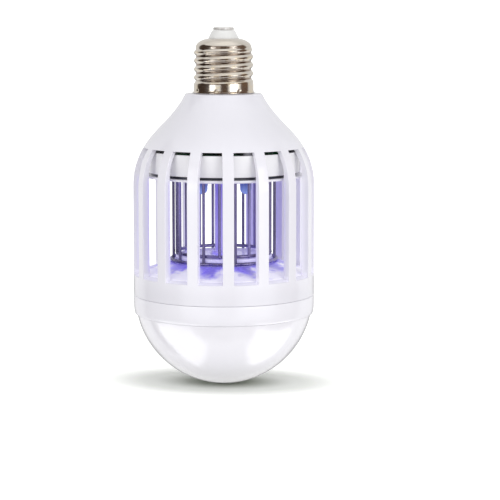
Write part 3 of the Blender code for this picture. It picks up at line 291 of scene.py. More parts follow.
def floor_plastic():
    """White floor under the violet lamps, with painted light: a deep pool of violet light round the pedestal,
    painted shadows of the wires streaking it, a violet pedestal, and a glow over it all.
    """
    finish = moulded("floor_white", WHITE, 0.28, Coat_Weight=0.2)
    angle = finish.x.maths("ARCTAN2", -finish.y)
    cloud = finish.noise(6.0, 3.0) - 0.5
    # Ten lobes round the floor, where the wires' painted shadows fall.
    lobes = (angle * ROD_COUNT + cloud * 4.0 + math.radians(50.0)).cos()
    # Painted pool of violet light, with streaks of painted wire shadow across it.
    pool = (finish.radius - lobes * 2.2 + cloud * 20.0).ramp(32.5, 24.5)
    streaks = (lobes + cloud * 3.0).ramp(0.3, 1.1) * finish.radius.ramp(34.5, 30.0)
    violet_lit = finish.mix(pool, finish.mix(0.05, finish.colour, PAINTED_VIOLET_LIGHT), (0.24, 0.19, 0.84))
    wire_shadowed = finish.mix(streaks * 0.5, violet_lit, (0.15, 0.12, 0.50))
    # Painted violet light on the pedestal.
    pedestal = finish.radius < PEDESTAL_R + 0.5
    finish.colour = finish.mix(pedestal, wire_shadowed, (0.80, 0.77, 0.97))
    # Painted glow: violet in the pool and pale elsewhere.
    glow = finish.mix(pool, (0.95, 0.93, 1.0), (0.36, 0.30, 1.0))
    finish.glow(finish.mix(pedestal, glow, (0.42, 0.38, 0.85)), 0.2)
    return finish.done()


def column_plastic():
    """White post between the violet lamps, painted with their light: a violet that deepens towards its top, and a
    violet glow.
    """
    # Painted violet light and glow: the post itself is white.
    finish = moulded("column_white", (0.62, 0.58, 0.92), 0.2, Coat_Weight=0.4)
    up = finish.level.ramp(-104.0, -70.0)
    finish.colour = finish.mix(up, (0.52, 0.46, 0.90), (0.36, 0.30, 0.78))
    finish.glow(finish.mix(up, (0.20, 0.16, 0.7), (0.16, 0.12, 0.7)), 0.3)
    return finish.done()


def grid_metal():
    """Nickel-plated steel wire, coloured with a painted reflection of the violet light: violet-grey, with lighter
    violet patches.
    """
    finish = Finish("grid_wire", (0.32, 0.29, 0.44), 0.26, 1.0)
    drawn = finish.noise(1.1, 3.0, (1.0, 1.0, 0.06))
    # Patches of painted violet reflection along the wires.
    violet = finish.noise(18.0, 2.0, (1.0, 1.0, 0.3)).ramp(0.35, 0.7)
    finish.colour = finish.mix(violet, (0.17, 0.155, 0.25), (0.36, 0.32, 0.60))
    finish.roughness = 0.18 + drawn * 0.22
    finish.bump(drawn, 0.01)
    return finish.done()


def lens_epoxy():
    """Violet lamp: blue epoxy with wisps in it, brightest at its nose."""
    finish = Finish("violet_lens", (0.08, 0.17, 0.50), 0.06, Coat_Weight=0.8, Coat_Roughness=0.03)
    up = finish.level.ramp(-71.8, -67.2)
    wisps = finish.noise(1.6, 2.0)
    finish.colour = finish.mix(up, (0.18, 0.27, 0.64), (0.07, 0.10, 0.32))
    finish.glow(finish.mix(up * (wisps * 0.5 + 0.6), (0.24, 0.32, 0.72), (0.05, 0.08, 0.42)), 0.35)
    finish.bump(wisps, 0.02)
    return finish.done()


def nickel_plate():
    """Nickel over rolled brass: drawn round the cap, warm on the worn crests, brown between them."""
    finish = Finish("nickel_plate", (0.74, 0.70, 0.64), 0.16, 1.0)
    drawn = finish.noise(0.5, 4.0, (0.15, 0.15, 2.0))
    worn = finish.noise(2.2, 4.0)
    crest = finish.radius.ramp(12.4, 13.1) * worn.ramp(0.45, 0.62)
    # Darker brown in the thread's grooves.
    brown_in_grooves = finish.radius.ramp(12.42, 12.22) * (finish.level < THREAD_TOP - 1.0)
    plated = finish.mix(drawn, (0.60, 0.55, 0.485), (0.72, 0.67, 0.60))
    finish.colour = finish.mix(crest * 0.55, plated, (0.74, 0.62, 0.43))
    finish.colour = finish.mix(brown_in_grooves * 0.75, finish.colour, (0.24, 0.17, 0.115))
    finish.roughness = 0.08 + drawn * 0.1 + worn * 0.08
    finish.bump(drawn * 0.7 + worn * 0.3, 0.012)
    return finish.done()


def contact_metal():
    """Turned disc with dull spots."""
    finish = Finish("contact_metal", (0.84, 0.84, 0.83), 0.4, 1.0)
    turned_rings = (finish.radius * 9.0).sin() * 0.5 + 0.5
    spots = finish.noise(0.9, 4.0)
    finish.colour = finish.mix(spots.ramp(0.4, 0.7), (0.88, 0.88, 0.87), (0.79, 0.78, 0.76))
    finish.roughness = 0.55 + spots * 0.2
    finish.bump(turned_rings * 0.5 + spots * 0.5, 0.01)
    return finish.done()


def opal_dome():
    """Milky diffuser with a polished outside, greyer towards its foot as painted shade."""
    finish = moulded("milky_dome", (0.915, 0.905, 0.955), 0.24, 0.003, Coat_Weight=0.9, Coat_Roughness=0.15)
    # Painted shade: greyer towards the foot, which faces the floor.
    finish.colour = finish.mix(finish.level.ramp(-140.0, -157.0), finish.colour, (0.78, 0.78, 0.79))
    return finish.done()


def circuit_board(name, mask, bare):
    """Lacquered board: copper tracks under the mask, tinned pads and a woven glass ground."""
    finish = Finish(name, mask, 0.35)
    weave = (finish.x * 9.0).sin() * (finish.y * 9.0).sin()
    tracks = finish.cells(4.5, feature="DISTANCE_TO_EDGE").ramp(0.06, 0.09)
    pads = finish.cells(3.1).ramp(0.24, 0.2)
    finish.colour = finish.mix(pads, finish.mix(tracks, shaded(mask, 1.5), mask), bare)
    finish.roughness = 0.3 + pads * 0.1
    finish.set("Metallic", pads * 0.8)
    finish.bump(weave * 0.1 + pads * 0.5 + (1 - tracks) * 0.4, 0.03)
    return finish.done()


def capacitor_can():
    """Dark plastic sleeve with a pale polarity stripe, and bare aluminium at the vented end."""
    finish = Finish("capacitor_sleeve", (0.04, 0.05, 0.09), 0.35)
    low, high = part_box("supply_capacitor")
    x, y = finish.x - (low.x + high.x) / 2 / MM, finish.y - (low.y + high.y) / 2 / MM
    stripe = (y + 2.6) < 0
    bare = (finish.level > high.z / MM - 0.25) * ((x * x + y * y) < 18.0)
    vent = (abs(x).at_most(abs(y)) < 0.3) * bare
    sleeve = finish.mix(stripe, (0.03, 0.04, 0.08), (0.45, 0.46, 0.48))
    finish.colour = finish.mix(bare, sleeve, (0.80, 0.80, 0.81))
    finish.set("Metallic", bare)
    finish.bump(finish.noise(1.2) * 0.2 - vent, 0.15)
    return finish.done()


def ferrite():
    finish = Finish("ferrite", (0.05, 0.05, 0.055), 0.6)
    finish.colour = finish.mix(finish.noise(0.5, 5.0), (0.03, 0.03, 0.035), (0.09, 0.09, 0.10))
    finish.bump(finish.noise(0.35, 5.0), 0.05)
    return finish.done()


def winding_tape():
    """Amber tape wound round the coil, with its laps showing."""
    finish = Finish("winding_tape", (0.62, 0.40, 0.07), 0.3, Coat_Weight=0.3)
    laps = (finish.level * 5.0 + finish.noise(4.0) * 2.0).sin() * 0.5 + 0.5
    finish.colour = finish.mix(laps, (0.55, 0.33, 0.05), (0.74, 0.50, 0.10))
    finish.bump(laps.ramp(0.2, 0.8), 0.08)
    return finish.done()


def dipped(name, colour, roughness):
    """Dipped or baked coating: uneven, with runs and pinholes."""
    finish = Finish(name, colour, roughness, Coat_Weight=0.3)
    runs = finish.noise(2.0, 4.0, (1.0, 1.0, 0.5))
    holes = finish.cells(0.9).ramp(0.16, 0.08)
    finish.colour = finish.mix(runs, shaded(colour, 0.75), shaded(colour, 1.25))
    finish.roughness = roughness * 0.7 + runs * roughness * 0.6
    finish.bump(runs - holes * 0.5, 0.05)
    return finish.done()


def zinc_plate():
    finish = Finish("screw_zinc", (0.66, 0.66, 0.67), 0.3, 1.0)
    spangle = finish.cells(0.8, "Color")
    streaks = finish.noise(0.5, 4.0, (1.0, 1.0, 0.3))
    finish.colour = finish.mix(streaks, (0.55, 0.55, 0.56), (0.78, 0.78, 0.76))
    finish.roughness = 0.2 + spangle * 0.2
    finish.bump(streaks, 0.01)
    return finish.done()


def rolled_aluminium():
    finish = Finish("aluminium_plate", (0.80, 0.80, 0.81), 0.35, 1.0)
    rolled = finish.noise(0.7, 4.0, (0.08, 1.0, 1.0))
    finish.colour = finish.mix(rolled, (0.70, 0.70, 0.71), (0.86, 0.86, 0.87))
    finish.roughness = 0.25 + rolled * 0.2
    finish.bump(rolled, 0.015)
    return finish.done()


def phosphor():
    """Yellow gel of the white lamp's diodes."""
    finish = Finish("phosphor", (0.85, 0.66, 0.12), 0.35, Coat_Weight=0.4)
    grains = finish.noise(0.25, 4.0)
    finish.colour = finish.mix(grains, (0.78, 0.55, 0.07), (0.95, 0.80, 0.22))
    finish.bump(grains, 0.02)
    return finish.done()


def lead_sleeve(name, colour):
    finish = Finish(name, colour, 0.4)
    drawn = finish.noise(0.7, 3.0, (1.0, 1.0, 0.3))
    finish.colour = finish.mix(drawn, shaded(colour, 0.8), shaded(colour, 1.15))
    finish.roughness = 0.32 + drawn * 0.2
    finish.bump(drawn, 0.02)
    return finish.done()


HOUSING = housing_plastic()
CUP = moulded("cup_grey", (0.89, 0.885, 0.91), 0.38).done()
PLATE = plate_plastic()
FLOOR = floor_plastic()
COLUMN = column_plastic()
WIRE = grid_metal()
LENS = lens_epoxy()
NICKEL = nickel_plate()
CONTACT = contact_metal()
DOME = opal_dome()
COLLAR = moulded("collar_white", (0.885, 0.875, 0.93), 0.24, Coat_Weight=0.2).done()
IVORY = moulded("insulator_white", (0.80, 0.80, 0.79), 0.3, 0.02).done()
BOARD = circuit_board("board_green", (0.03, 0.16, 0.07), (0.72, 0.72, 0.70))
LAMP_BOARD = circuit_board("lamp_board_white", (0.78, 0.78, 0.76), (0.70, 0.69, 0.66))
SLEEVE = capacitor_can()
FERRITE = ferrite()
TAPE = winding_tape()
RED_DIP = dipped("capacitor_red", (0.40, 0.07, 0.04), 0.35)
RESISTOR = dipped("resistor_body", (0.22, 0.38, 0.30), 0.45)
CHIP = dipped("chip_black", (0.03, 0.03, 0.03), 0.5)
ZINC = zinc_plate()
ALUMINIUM = rolled_aluminium()
PHOSPHOR = phosphor()
LEAD_RED = lead_sleeve("lead_red", (0.50, 0.03, 0.03))
LEAD_BLACK = lead_sleeve("lead_black", (0.03, 0.03, 0.03))
LEAD_WHITE = lead_sleeve("lead_white", (0.72, 0.72, 0.70))


# Mesh making


def place(radius, angle, level=0.0):
    turned = math.radians(angle)
    return Vector((radius * math.sin(turned), -radius * math.cos(turned), level))


def spots(count, radius, start):
    """Places round the axis, evenly apart."""
    return [place(radius, start + 360.0 * index / count) for index in range(count)]


def face_out(bm):
    bmesh.ops.recalc_face_normals(bm, faces=bm.faces)


def smoothed(mesh, sharp=SHARP):
    mesh.shade_smooth()
    mesh.set_sharp_from_angle(angle=math.radians(sharp))


def added(name, data):
    """A new object in the scene, at the origin."""
    thing = bpy.data.objects.new(name, data)
    bpy.context.scene.collection.objects.link(thing)
    return thing


def shaped(name, bm, material=None):
    """An object from a mesh in millimetres, with its faces turned out."""
    face_out(bm)
    bmesh.ops.transform(bm, matrix=Matrix.Scale(MM, 4), verts=bm.verts)
    mesh = bpy.data.meshes.new(name)
    bm.to_mesh(mesh)
    bm.free()
    smoothed(mesh)
    if material:
        mesh.materials.append(material)
    return added(name, mesh)


def settled(piece):
    """The piece with its modifiers worked into its mesh."""
    evaluated = piece.evaluated_get(bpy.context.evaluated_depsgraph_get())
    mesh = bpy.data.meshes.new_from_object(evaluated)
    piece.modifiers.clear()
    piece.data = mesh
    return piece


def reworked(piece, change):
    """Makes a change to the mesh of a piece."""
    bm = bmesh.new()
    bm.from_mesh(piece.data)
    change(bm)
    bm.to_mesh(piece.data)
    bm.free()


def merge(bm):
    """Joins points that lie together, and drops faces without area."""
    bmesh.ops.remove_doubles(bm, verts=bm.verts, dist=1e-6)
    bmesh.ops.dissolve_degenerate(bm, edges=bm.edges, dist=1e-7)


def hand_over(piece, slot, *nodes):
    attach(piece, "root")
    if nodes:
        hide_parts(*nodes)


def eased(outline, easing):
    """A closed outline of (radius, level) points with its corners rounded, apart from those on the axis.

    A point's third number, where it has one, is its own easing.
    """
    points = []
    for index, corner in enumerate(outline):
        here = Vector(corner[:2])
        reach = corner[2] if len(corner) > 2 else easing
        before = Vector(outline[index - 1][:2]) - here
        after = Vector(outline[(index + 1) % len(outline)][:2]) - here
        if here.x == 0 or not reach or before.angle(after) > math.radians(165):
            points.append(here)
            continue
        half = before.angle(after) / 2
        length = min(reach / math.tan(half), before.length * 0.45, after.length * 0.45)
        start, end = here + before.normalized() * length, here + after.normalized() * length
        for step in range(CORNER_STEPS + 1):
            t = step / CORNER_STEPS
            points.append((1 - t) ** 2 * start + 2 * t * (1 - t) * here + t * t * end)
    return points


def revolve(bm, outline, sides, centre=(0.0, 0.0)):
    """Turns a closed outline about a vertical axis."""
    rows = []
    for radius, level in outline:
        if radius < 1e-6:
            rows.append([bm.verts.new((*centre, level))] * sides)
        else:
            ring = [place(radius, 360.0 * side / sides, level) for side in range(sides)]
            rows.append([bm.verts.new(point + Vector((*centre, 0))) for point in ring])
    for index, row in enumerate(rows):
        following = rows[(index + 1) % len(rows)]
        for side in range(sides):
            after = (side + 1) % sides
            corners = dict.fromkeys((row[side], row[after], following[after], following[side]))
            if len(corners) > 2:
                bm.faces.new(tuple(corners))


def turned(name, outline, material, easing=0.3, sides=128):
    bm = bmesh.new()
    revolve(bm, eased(outline, easing), sides)
    return shaped(name, bm, material)


def drilled(piece, tool):
    """Cuts the tool out of the piece, and removes the tool."""
    cut = piece.modifiers.new("holes", "BOOLEAN")
    cut.operation, cut.solver, cut.object = "DIFFERENCE", "EXACT", tool
    settled(piece)
    bpy.data.objects.remove(tool, do_unlink=True)


def arc(level, radius, angles, centre_r=0.0):
    """Points of an outline on an arc about (centre_r, level), each kept as it is."""
    turns = [math.radians(angle) for angle in angles]
    return [(centre_r + radius * math.cos(turn), level + radius * math.sin(turn), 0) for turn in turns]


def cubic(start, lead_out, lead_in, end, count):
    """Points after the start on a curve that leaves towards one point and arrives from another."""
    points = []
    for step in range(1, count + 1):
        t = step / count
        weighted = (
            ((1 - t) ** 3, start), (3 * t * (1 - t) ** 2, lead_out), (3 * t * t * (1 - t), lead_in), (t**3, end)
        )
        points.append(tuple(sum(weight * point[axis] for weight, point in weighted) for axis in (0, 1)))
    return points


# Geometry node trees


class Shaper(Graph):
    """A geometry tree with named inputs, which ends in Realize Instances and Set Material."""

    def __init__(self, name, **inputs):
        tree = bpy.data.node_groups.new(name, "GeometryNodeTree")
        super().__init__(tree)
        for label, kind in {"Geometry": "Geometry", **inputs, "Material": "Material"}.items():
            socket = {"in_out": "INPUT", "socket_type": "NodeSocket" + kind}
            tree.interface.new_socket(label.replace("_", " "), **socket)
        tree.interface.new_socket("Geometry", in_out="OUTPUT", socket_type="NodeSocketGeometry")
        self.given = self.node("NodeGroupInput")

    def input(self, name):
        return self.given.out(name)

    def end(self, geometry):
        whole = self.node("GeometryNodeRealizeInstances", {"Geometry": geometry})
        whole = self.node("GeometryNodeMergeByDistance", {"Geometry": whole, "Distance": 1e-7})
        whole = self.node("GeometryNodeSetMaterial", {"Geometry": whole, "Material": self.input("Material")})
        self.node("NodeGroupOutput", {"Geometry": whole})
        return self.tree

    def turned_copies(self, instance, count, start):
        """Copies of a shape turned round the vertical axis."""
        points = self.node("GeometryNodePoints", {"Count": count})
        angle = self.node("GeometryNodeInputIndex") * math.tau / count + start
        turn = self.node("ShaderNodeCombineXYZ", {"Z": angle})
        sockets = {"Points": points, "Instance": instance, "Rotation": turn}
        return self.node("GeometryNodeInstanceOnPoints", sockets)

    def joined(self, *parts):
        whole = self.node("GeometryNodeJoinGeometry")
        for part in parts:
            self.feed(whole.socket.node.inputs[0], part)
        return whole

    def moved(self, geometry, offset):
        return self.node("GeometryNodeTransform", {"Geometry": geometry, "Translation": offset})


def grown(name, mesh, tree, values, material, sharp=SHARP):
    """Runs a geometry tree on a mesh and keeps the plain mesh that comes out."""
    piece = added(name, mesh)
    modifier = piece.modifiers.new(name, "NODES")
    modifier.node_group = tree
    for label, value in {**values, "Material": material}.items():
        modifier[tree.interface.items_tree[label].identifier] = value
    smoothed(settled(piece).data, sharp)
    return piece


def copies_tree():
    shaper = Shaper("copies_round_the_axis", Count="Int", Start_Angle="Float")
    given = shaper.input("Geometry")
    return shaper.end(shaper.turned_copies(given, shaper.input("Count"), shaper.input("Start Angle")))


COPIES = copies_tree()


def repeated(name, bm, count, start, material):
    """A shape in millimetres at the front, repeated round the axis."""
    pattern = shaped(name + "_pattern", bm)
    mesh = pattern.data
    bpy.data.objects.remove(pattern, do_unlink=True)
    return grown(name, mesh, COPIES, {"Count": count, "Start Angle": math.radians(start)}, material)


# Screw cap


def shell_tree():
    """A grid rolled into the screw shell: a rounded shoulder, the thread with its fades, a punched skirt."""
    shaper = Shaper("rolled_shell", Sides="Int", Rows="Int", Dimples="Int", Dimple_Start="Float")
    counts = {"Vertices X": shaper.input("Sides"), "Vertices Y": shaper.input("Rows")}
    sheet = shaper.node("GeometryNodeMeshGrid", {0: 1.0, 1: 1.0, **counts})
    where = shaper.node("ShaderNodeSeparateXYZ", {0: shaper.node("GeometryNodeInputPosition")})
    turn, down = where.out("X") + 0.5, 0.5 - where.out("Y")
    angle = turn * math.tau

    bend = down.share(0.0, SHOULDER_SHARE) * (math.pi / 2)
    side = down.share(SHOULDER_SHARE, 1.0)
    base = SHELL_TOP - SHOULDER_DROP
    level = base + bend.cos() * SHOULDER_DROP - side * (base - SHELL_END)
    shoulder = MOUTH_R + (SHOULDER_R - MOUTH_R) * bend.sin() ** SHOULDER_POWER

    middle = CREST_R - THREAD_DEPTH / 2
    into = level.share(THREAD_TOP, THREAD_TOP - THREAD_FADE)
    out_of = level.share(THREAD_END + THREAD_FADE, THREAD_END)
    body = shoulder + (middle - SHOULDER_R) * into + (SKIRT_R - middle) * out_of
    crest = THREAD_CREST_LEVEL + turn * THREAD_PITCH
    wave = ((level - crest) * (math.tau / THREAD_PITCH)).cos()
    thread = wave * into * (1 - out_of) * (THREAD_DEPTH / 2)
    flare = level.ramp(SHELL_END + FLARE_HEIGHT, SHELL_END) * SKIRT_FLARE

    spacing = math.tau / shaper.input("Dimples")
    across = (angle - shaper.input("Dimple Start")).wrapped(spacing * -0.5, spacing * 0.5) * SKIRT_R
    above = level - (SHELL_END + DIMPLE_HEIGHT)
    depth = (1 - (across * across + above * above).root() / DIMPLE_R).at_least(0.0)
    dent = depth ** 1.5 * DIMPLE_DEPTH
    radius = (body + thread + flare - dent) * MM
    place_of = {"X": radius * angle.sin(), "Y": -(radius * angle.cos()), "Z": level * MM}
    rolled = {"Geometry": sheet, "Position": shaper.node("ShaderNodeCombineXYZ", place_of)}
    return shaper.end(shaper.node("GeometryNodeSetPosition", rolled))


def face_from_axis(bm):
    """Turns the faces of an open sheet away from the axis."""
    face_out(bm)
    middle = bm.faces[len(bm.faces) // 2]
    at = middle.calc_center_median()
    if middle.normal.x * at.x + middle.normal.y * at.y < 0:
        bmesh.ops.reverse_faces(bm, faces=bm.faces)


def screw_shell():
    values = {"Sides": 193, "Rows": 150, "Dimples": DIMPLE_COUNT, "Dimple Start": math.radians(FIRST_DIMPLE)}
    shell = grown("rolled_screw_shell", bpy.data.meshes.new("shell"), shell_tree(), values, NICKEL, 60.0)
    reworked(shell, face_from_axis)
    sheet = shell.modifiers.new("sheet", "SOLIDIFY")
    sheet.thickness, sheet.offset = SHEET * MM, -1.0
    settled(shell)
    hand_over(shell, "nickel_plate", "screw_shell")


def centre_contact():
    """Disc with a shallow hollow in its top, on a stem."""
    outline = [(0, -0.15), (2.6, -0.1, 1.0), (3.4, 0, 1.0), (4.2, 0, 0.3), (CONTACT_R, -0.5, 0.4)]
    outline += [(CONTACT_R, CONTACT_FOOT, 0.1), (STEM_R, CONTACT_FOOT), (STEM_R, STEM_END), (0, STEM_END)]
    hand_over(turned("contact_disc", outline, CONTACT, 0.1, 64), "contact_metal", "centre_contact")


def cap_insulator():
    """Cone with a rim round the contact, over a flange that bears up under the shell."""
    bore, seat, neck = STEM_R + FIT, CONTACT_FOOT - FIT, MOUTH_R - FIT
    flange = SHELL_TOP - SHEET - FIT
    foot = flange - 3.0
    outline = [(bore, seat, 0.1), (CONE_RIM_R - 0.4, seat, 0.2), (CONE_RIM_R, seat + 0.2, 0.2)]
    outline += [(CONE_RIM_R + 0.4, seat - 0.2, 0.4), (neck, CONE_FOOT, 0.6), (neck, flange - 0.3, 0.2)]
    outline += [(FLANGE_R, flange - 1.2), (FLANGE_R, foot), (bore, foot)]
    hand_over(turned("insulator_cone", outline, IVORY, 0.3, 96), "insulator_white", "cap_insulator")


# Cage housing


def outer_profile():
    """The outside from the neck's rounded edge down to the straight wall, as (radius, level) points."""
    angles = [90 - 90 * step / (NECK_POINTS - 1) for step in range(NECK_POINTS)]
    edge = arc(NECK_TOP - NECK_ROUND, NECK_ROUND, angles, NECK_R - NECK_ROUND)
    points = [point[:2] for point in edge] + [FOOT]
    spread, drop = WAIST[0] - FOOT[0], FOOT[1] - WAIST[1]
    lead_out = (FOOT[0] + 0.14 * spread, FOOT[1] - 0.25 * drop)
    lead_in = (WAIST[0] - 0.45 * spread, WAIST[1] + 0.35 * drop)
    points += cubic(FOOT, lead_out, lead_in, WAIST, 12)
    spread, drop = BODY_R - WAIST[0], WAIST[1] - SHOULDER_END
    lead_out = (WAIST[0] + 0.4 * spread, WAIST[1] - 0.2 * drop)
    lead_in = (BODY_R, WAIST[1] - 0.5 * drop)
    return points + cubic(WAIST, lead_out, lead_in, (BODY_R, SHOULDER_END), 24)


def inner_profile(outer):
    """The inside, a wall's thickness from the outside, down to where it meets the ribs' inner faces."""
    points = []
    for index in range(NECK_POINTS, len(outer)):
        before, after = Vector(outer[index - 1]), Vector(outer[min(index + 1, len(outer) - 1)])
        along = (after - before).normalized()
        point = Vector(outer[index]) + Vector((along.y, -along.x)) * WALL
        if point.x >= CAGE_INNER_R - 0.05:
            points.append((CAGE_INNER_R, point.y))
            break
        points.append(tuple(point))
    return points


def radius_on(profile, level):
    for (r0, z0), (r1, z1) in zip(profile, profile[1:]):
        if z1 <= level <= z0:
            return r0 + (r1 - r0) * (z0 - level) / (z0 - z1)
    return profile[-1][0]


def level_on(profile, radius):
    for (r0, z0), (r1, z1) in zip(profile, profile[1:]):
        if r0 <= radius <= r1:
            return z0 + (z1 - z0) * (radius - r0) / (r1 - r0)
    return profile[-1][1]


def cage_sector():
    """One rib with half a window on each side, as a closed loop of rows down the outside and up the inside."""
    outer = outer_profile()
    inner = inner_profile(outer)
    over_windows = WINDOW_TOP + 0.8
    levels = [WINDOW_TOP - 1.3 * step for step in range(13)] + [-69.2, -76.0, -84.0, -92.0, -100.0]
    rows = [(SPIGOT_R, SPIGOT_TOP), (SPIGOT_R, SPIGOT_STEP), (SPIGOT_FOOT_R, SPIGOT_STEP)]
    rows += [(SPIGOT_FOOT_R, GROOVE_FLOOR), (GROOVE_R, GROOVE_FLOOR), (GROOVE_R, NECK_TOP)]
    rows += [point for point in outer if point[1] > over_windows]
    top = len(rows)
    rows += [(radius_on(outer, level), level) for level in levels]
    sill = len(rows)
    rows += [(BODY_R, level) for level in (SILL, -110.5, -113.5, BAND_END)]
    rows += [(BODY_R - WALL, BAND_END), (BODY_R - WALL, LEDGE_BOTTOM), (CAGE_INNER_R, LEDGE_BOTTOM)]
    inner_sill = len(rows)
    rows += [(CAGE_INNER_R, INNER_SILL)] + [(radius_on(inner, level), level) for level in reversed(levels)]
    rows += [point for point in reversed(inner) if point[1] > over_windows]
    roof = NECK_TOP - WALL
    rows += [(inner[0][0] - WALL, roof), (SPIGOT_BORE_R, roof), (SPIGOT_BORE_R, SPIGOT_TOP)]

    half = 180.0 / RIB_COUNT
    bm = bmesh.new()
    grid = []
    for radius, level in rows:
        edge = min(math.degrees(math.asin(RIB_WIDTH / 2 / radius)), half * 0.6)
        right = [edge * share for share in (0.0, 0.5, 1.0)]
        right += [edge + (half - edge) * share for share in (0.25, 0.5, 0.75, 1.0)]
        angles = [-angle for angle in reversed(right[1:])] + right
        grid.append([bm.verts.new(place(radius, angle, level)) for angle in angles])
    columns = len(grid[0]) - 1
    rib = range(columns // 2 - 2, columns // 2 + 2)
    count = len(levels)

    def face(first, second, column):
        pair = slice(column, column + 2)
        bm.faces.new((*grid[first][pair], *reversed(grid[second][pair])))

    for index in range(len(rows)):
        in_window = top <= index < sill or inner_sill <= index < inner_sill + count
        for column in range(columns):
            if not in_window or column in rib:
                face(index, (index + 1) % len(rows), column)
    for step in range(count):
        outer_row, inner_row = top + step, inner_sill + count - step
        for column in (rib.start, rib.stop):
            order = (outer_row, outer_row + 1, inner_row - 1, inner_row)
            bm.faces.new([grid[row][column] for row in order])
    for outer_row, inner_row in ((top, inner_sill + count), (sill, inner_sill)):
        for column in range(columns):
            if column not in rib:
                face(outer_row, inner_row, column)
    loose = [vert for vert in bm.verts if not vert.link_faces]
    bmesh.ops.delete(bm, geom=loose, context="VERTS")
    return bm


def cage_housing():
    housing = repeated("ribbed_housing", cage_sector(), RIB_COUNT, FIRST_RIB, HOUSING)
    reworked(housing, face_out)
    easing = housing.modifiers.new("easing", "BEVEL")
    easing.width, easing.segments, easing.harden_normals = RIB_EASING * MM, 3, True
    easing.limit_method, easing.angle_limit = "ANGLE", math.radians(40)
    reworked(settled(housing), merge)
    hand_over(housing, "housing_white", "cage_housing")

    bm = bmesh.new()
    top, bore_top = -40.0, -55.0
    boss = [(BOSS_BORE_R, BOSS_FOOT), (BOSS_R, BOSS_FOOT), (BOSS_R, top), (0, top)]
    boss += [(0, bore_top), (BOSS_BORE_R, bore_top)]
    revolve(bm, eased(boss, 0.3), 24, place(BOSS_RING_R, 0)[:2])
    for vert in bm.verts:
        if vert.co.z > bore_top + 5.0:
            vert.co.z = level_on(outer_profile(), vert.co.xy.length) - WALL / 2
    hand_over(repeated("housing_bosses", bm, BOSS_COUNT, BOSS_ANGLE, HOUSING), "housing_white")


# Cup, plate, grid and lamps


def upper_cup():
    inner = CUP_R - CUP_WALL
    outline = [(CUP_R, CUP_TOP), (CUP_R, CUP_BOTTOM), (CABLE_HOLE_R, CUP_BOTTOM)]
    outline += [(CABLE_HOLE_R, CUP_FLOOR_TOP), (inner, CUP_FLOOR_TOP), (inner, CUP_TOP)]
    hand_over(turned("vented_cup", outline, CUP, 0.35), "cup_grey", "upper_cup")


def drill(bm, spot, sides, low_r, high_r, *steps):
    """A tool past both faces of the plate, with the steps between its lower and its upper radius."""
    outline = [(0, DRILL_LOW), (low_r, DRILL_LOW), *steps, (high_r, DRILL_HIGH), (0, DRILL_HIGH)]
    revolve(bm, outline, sides, spot[:2])


def grid_plate():
    """Plate with a stepped rim and a thicker hub, drilled for wires, lamps and countersunk screws."""
    bore = COLUMN_R + FIT
    outline = [(bore, PLATE_TOP), (PLATE_STEP_R, PLATE_TOP), (PLATE_STEP_R, PLATE_RIM_TOP)]
    outline += [(PLATE_RIM_R, PLATE_RIM_TOP), (PLATE_RIM_R, PLATE_RIM_BOTTOM)]
    outline += [(HUB_R + 0.5, PLATE_RIM_BOTTOM, 0.2), (HUB_R, HUB_BOTTOM, 0.3), (bore, HUB_BOTTOM)]
    plate = turned("lamp_plate", outline, PLATE, 0.2)
    holes = bmesh.new()
    rods = spots(ROD_COUNT, INNER_ROD_R, INNER_ROD_ANGLE) + spots(ROD_COUNT, OUTER_ROD_R, ROD_ANGLE)
    for spot in rods:
        drill(holes, spot, 16, ROD_R + FIT, ROD_R + FIT)
    lens, flange, ledge = UV_R + FIT, UV_FLANGE_R + FIT, UV_FLANGE_FOOT - FIT
    for spot in spots(UV_COUNT, UV_RING_R, UV_ANGLE):
        drill(holes, spot, 32, lens, flange, (lens, ledge), (flange, ledge))
    head, shank, cone = SCREW_HEAD_R + FIT, SCREW_R + FIT, SCREW_FACE + 0.35
    for spot in spots(BOSS_COUNT, BOSS_RING_R, BOSS_ANGLE):
        drill(holes, spot, 32, head, shank, (head, cone), (shank, cone + SCREW_HEAD_R - SCREW_R))
    drilled(plate, shaped("plate_holes", holes))
    reworked(plate, merge)
    smoothed(plate.data)
    hand_over(plate, "housing_white", "grid_plate")


def basket_tree():
    """Upright wires round a circle, a ring at their foot, and a weld at each joint."""
    floats = ("Start_Angle", "Wire_Radius", "Circle_Radius", "Ring_Radius", "Ring_Wire_Radius")
    floats += ("Ring_Level", "Top_Level")
    shaper = Shaper("wire_basket", Wires="Int", **{name: "Float" for name in floats})
    out, low, high = shaper.input("Circle Radius"), shaper.input("Ring Level"), shaper.input("Top Level")
    thick, ring_radius = shaper.input("Wire Radius"), shaper.input("Ring Radius")

    def circle(radius, points):
        return shaper.node("GeometryNodeCurvePrimitiveCircle", {"Resolution": points, "Radius": radius})

    def rod(curve, radius, **caps):
        sockets = {"Curve": curve, "Profile Curve": circle(radius, 14), **caps}
        return shaper.node("GeometryNodeCurveToMesh", sockets)

    def at(across, level):
        return shaper.node("ShaderNodeCombineXYZ", {"Y": -across, "Z": level})

    upright = shaper.node("GeometryNodeCurvePrimitiveLine", {"Start": at(out, low), "End": at(out, high)})
    wire = rod(upright, thick, **{"Fill Caps": True})
    weld = shaper.node("GeometryNodeMeshUVSphere", {"Segments": 12, "Rings": 8, "Radius": thick * 1.35})
    weld = shaper.moved(weld, at((out + ring_radius) / 2, low))
    wires = shaper.turned_copies(shaper.joined(wire, weld), shaper.input("Wires"), shaper.input("Start Angle"))
    ring = rod(circle(ring_radius, 96), shaper.input("Ring Wire Radius"))
    return shaper.end(shaper.joined(wires, shaper.moved(ring, at(0.0, low))))


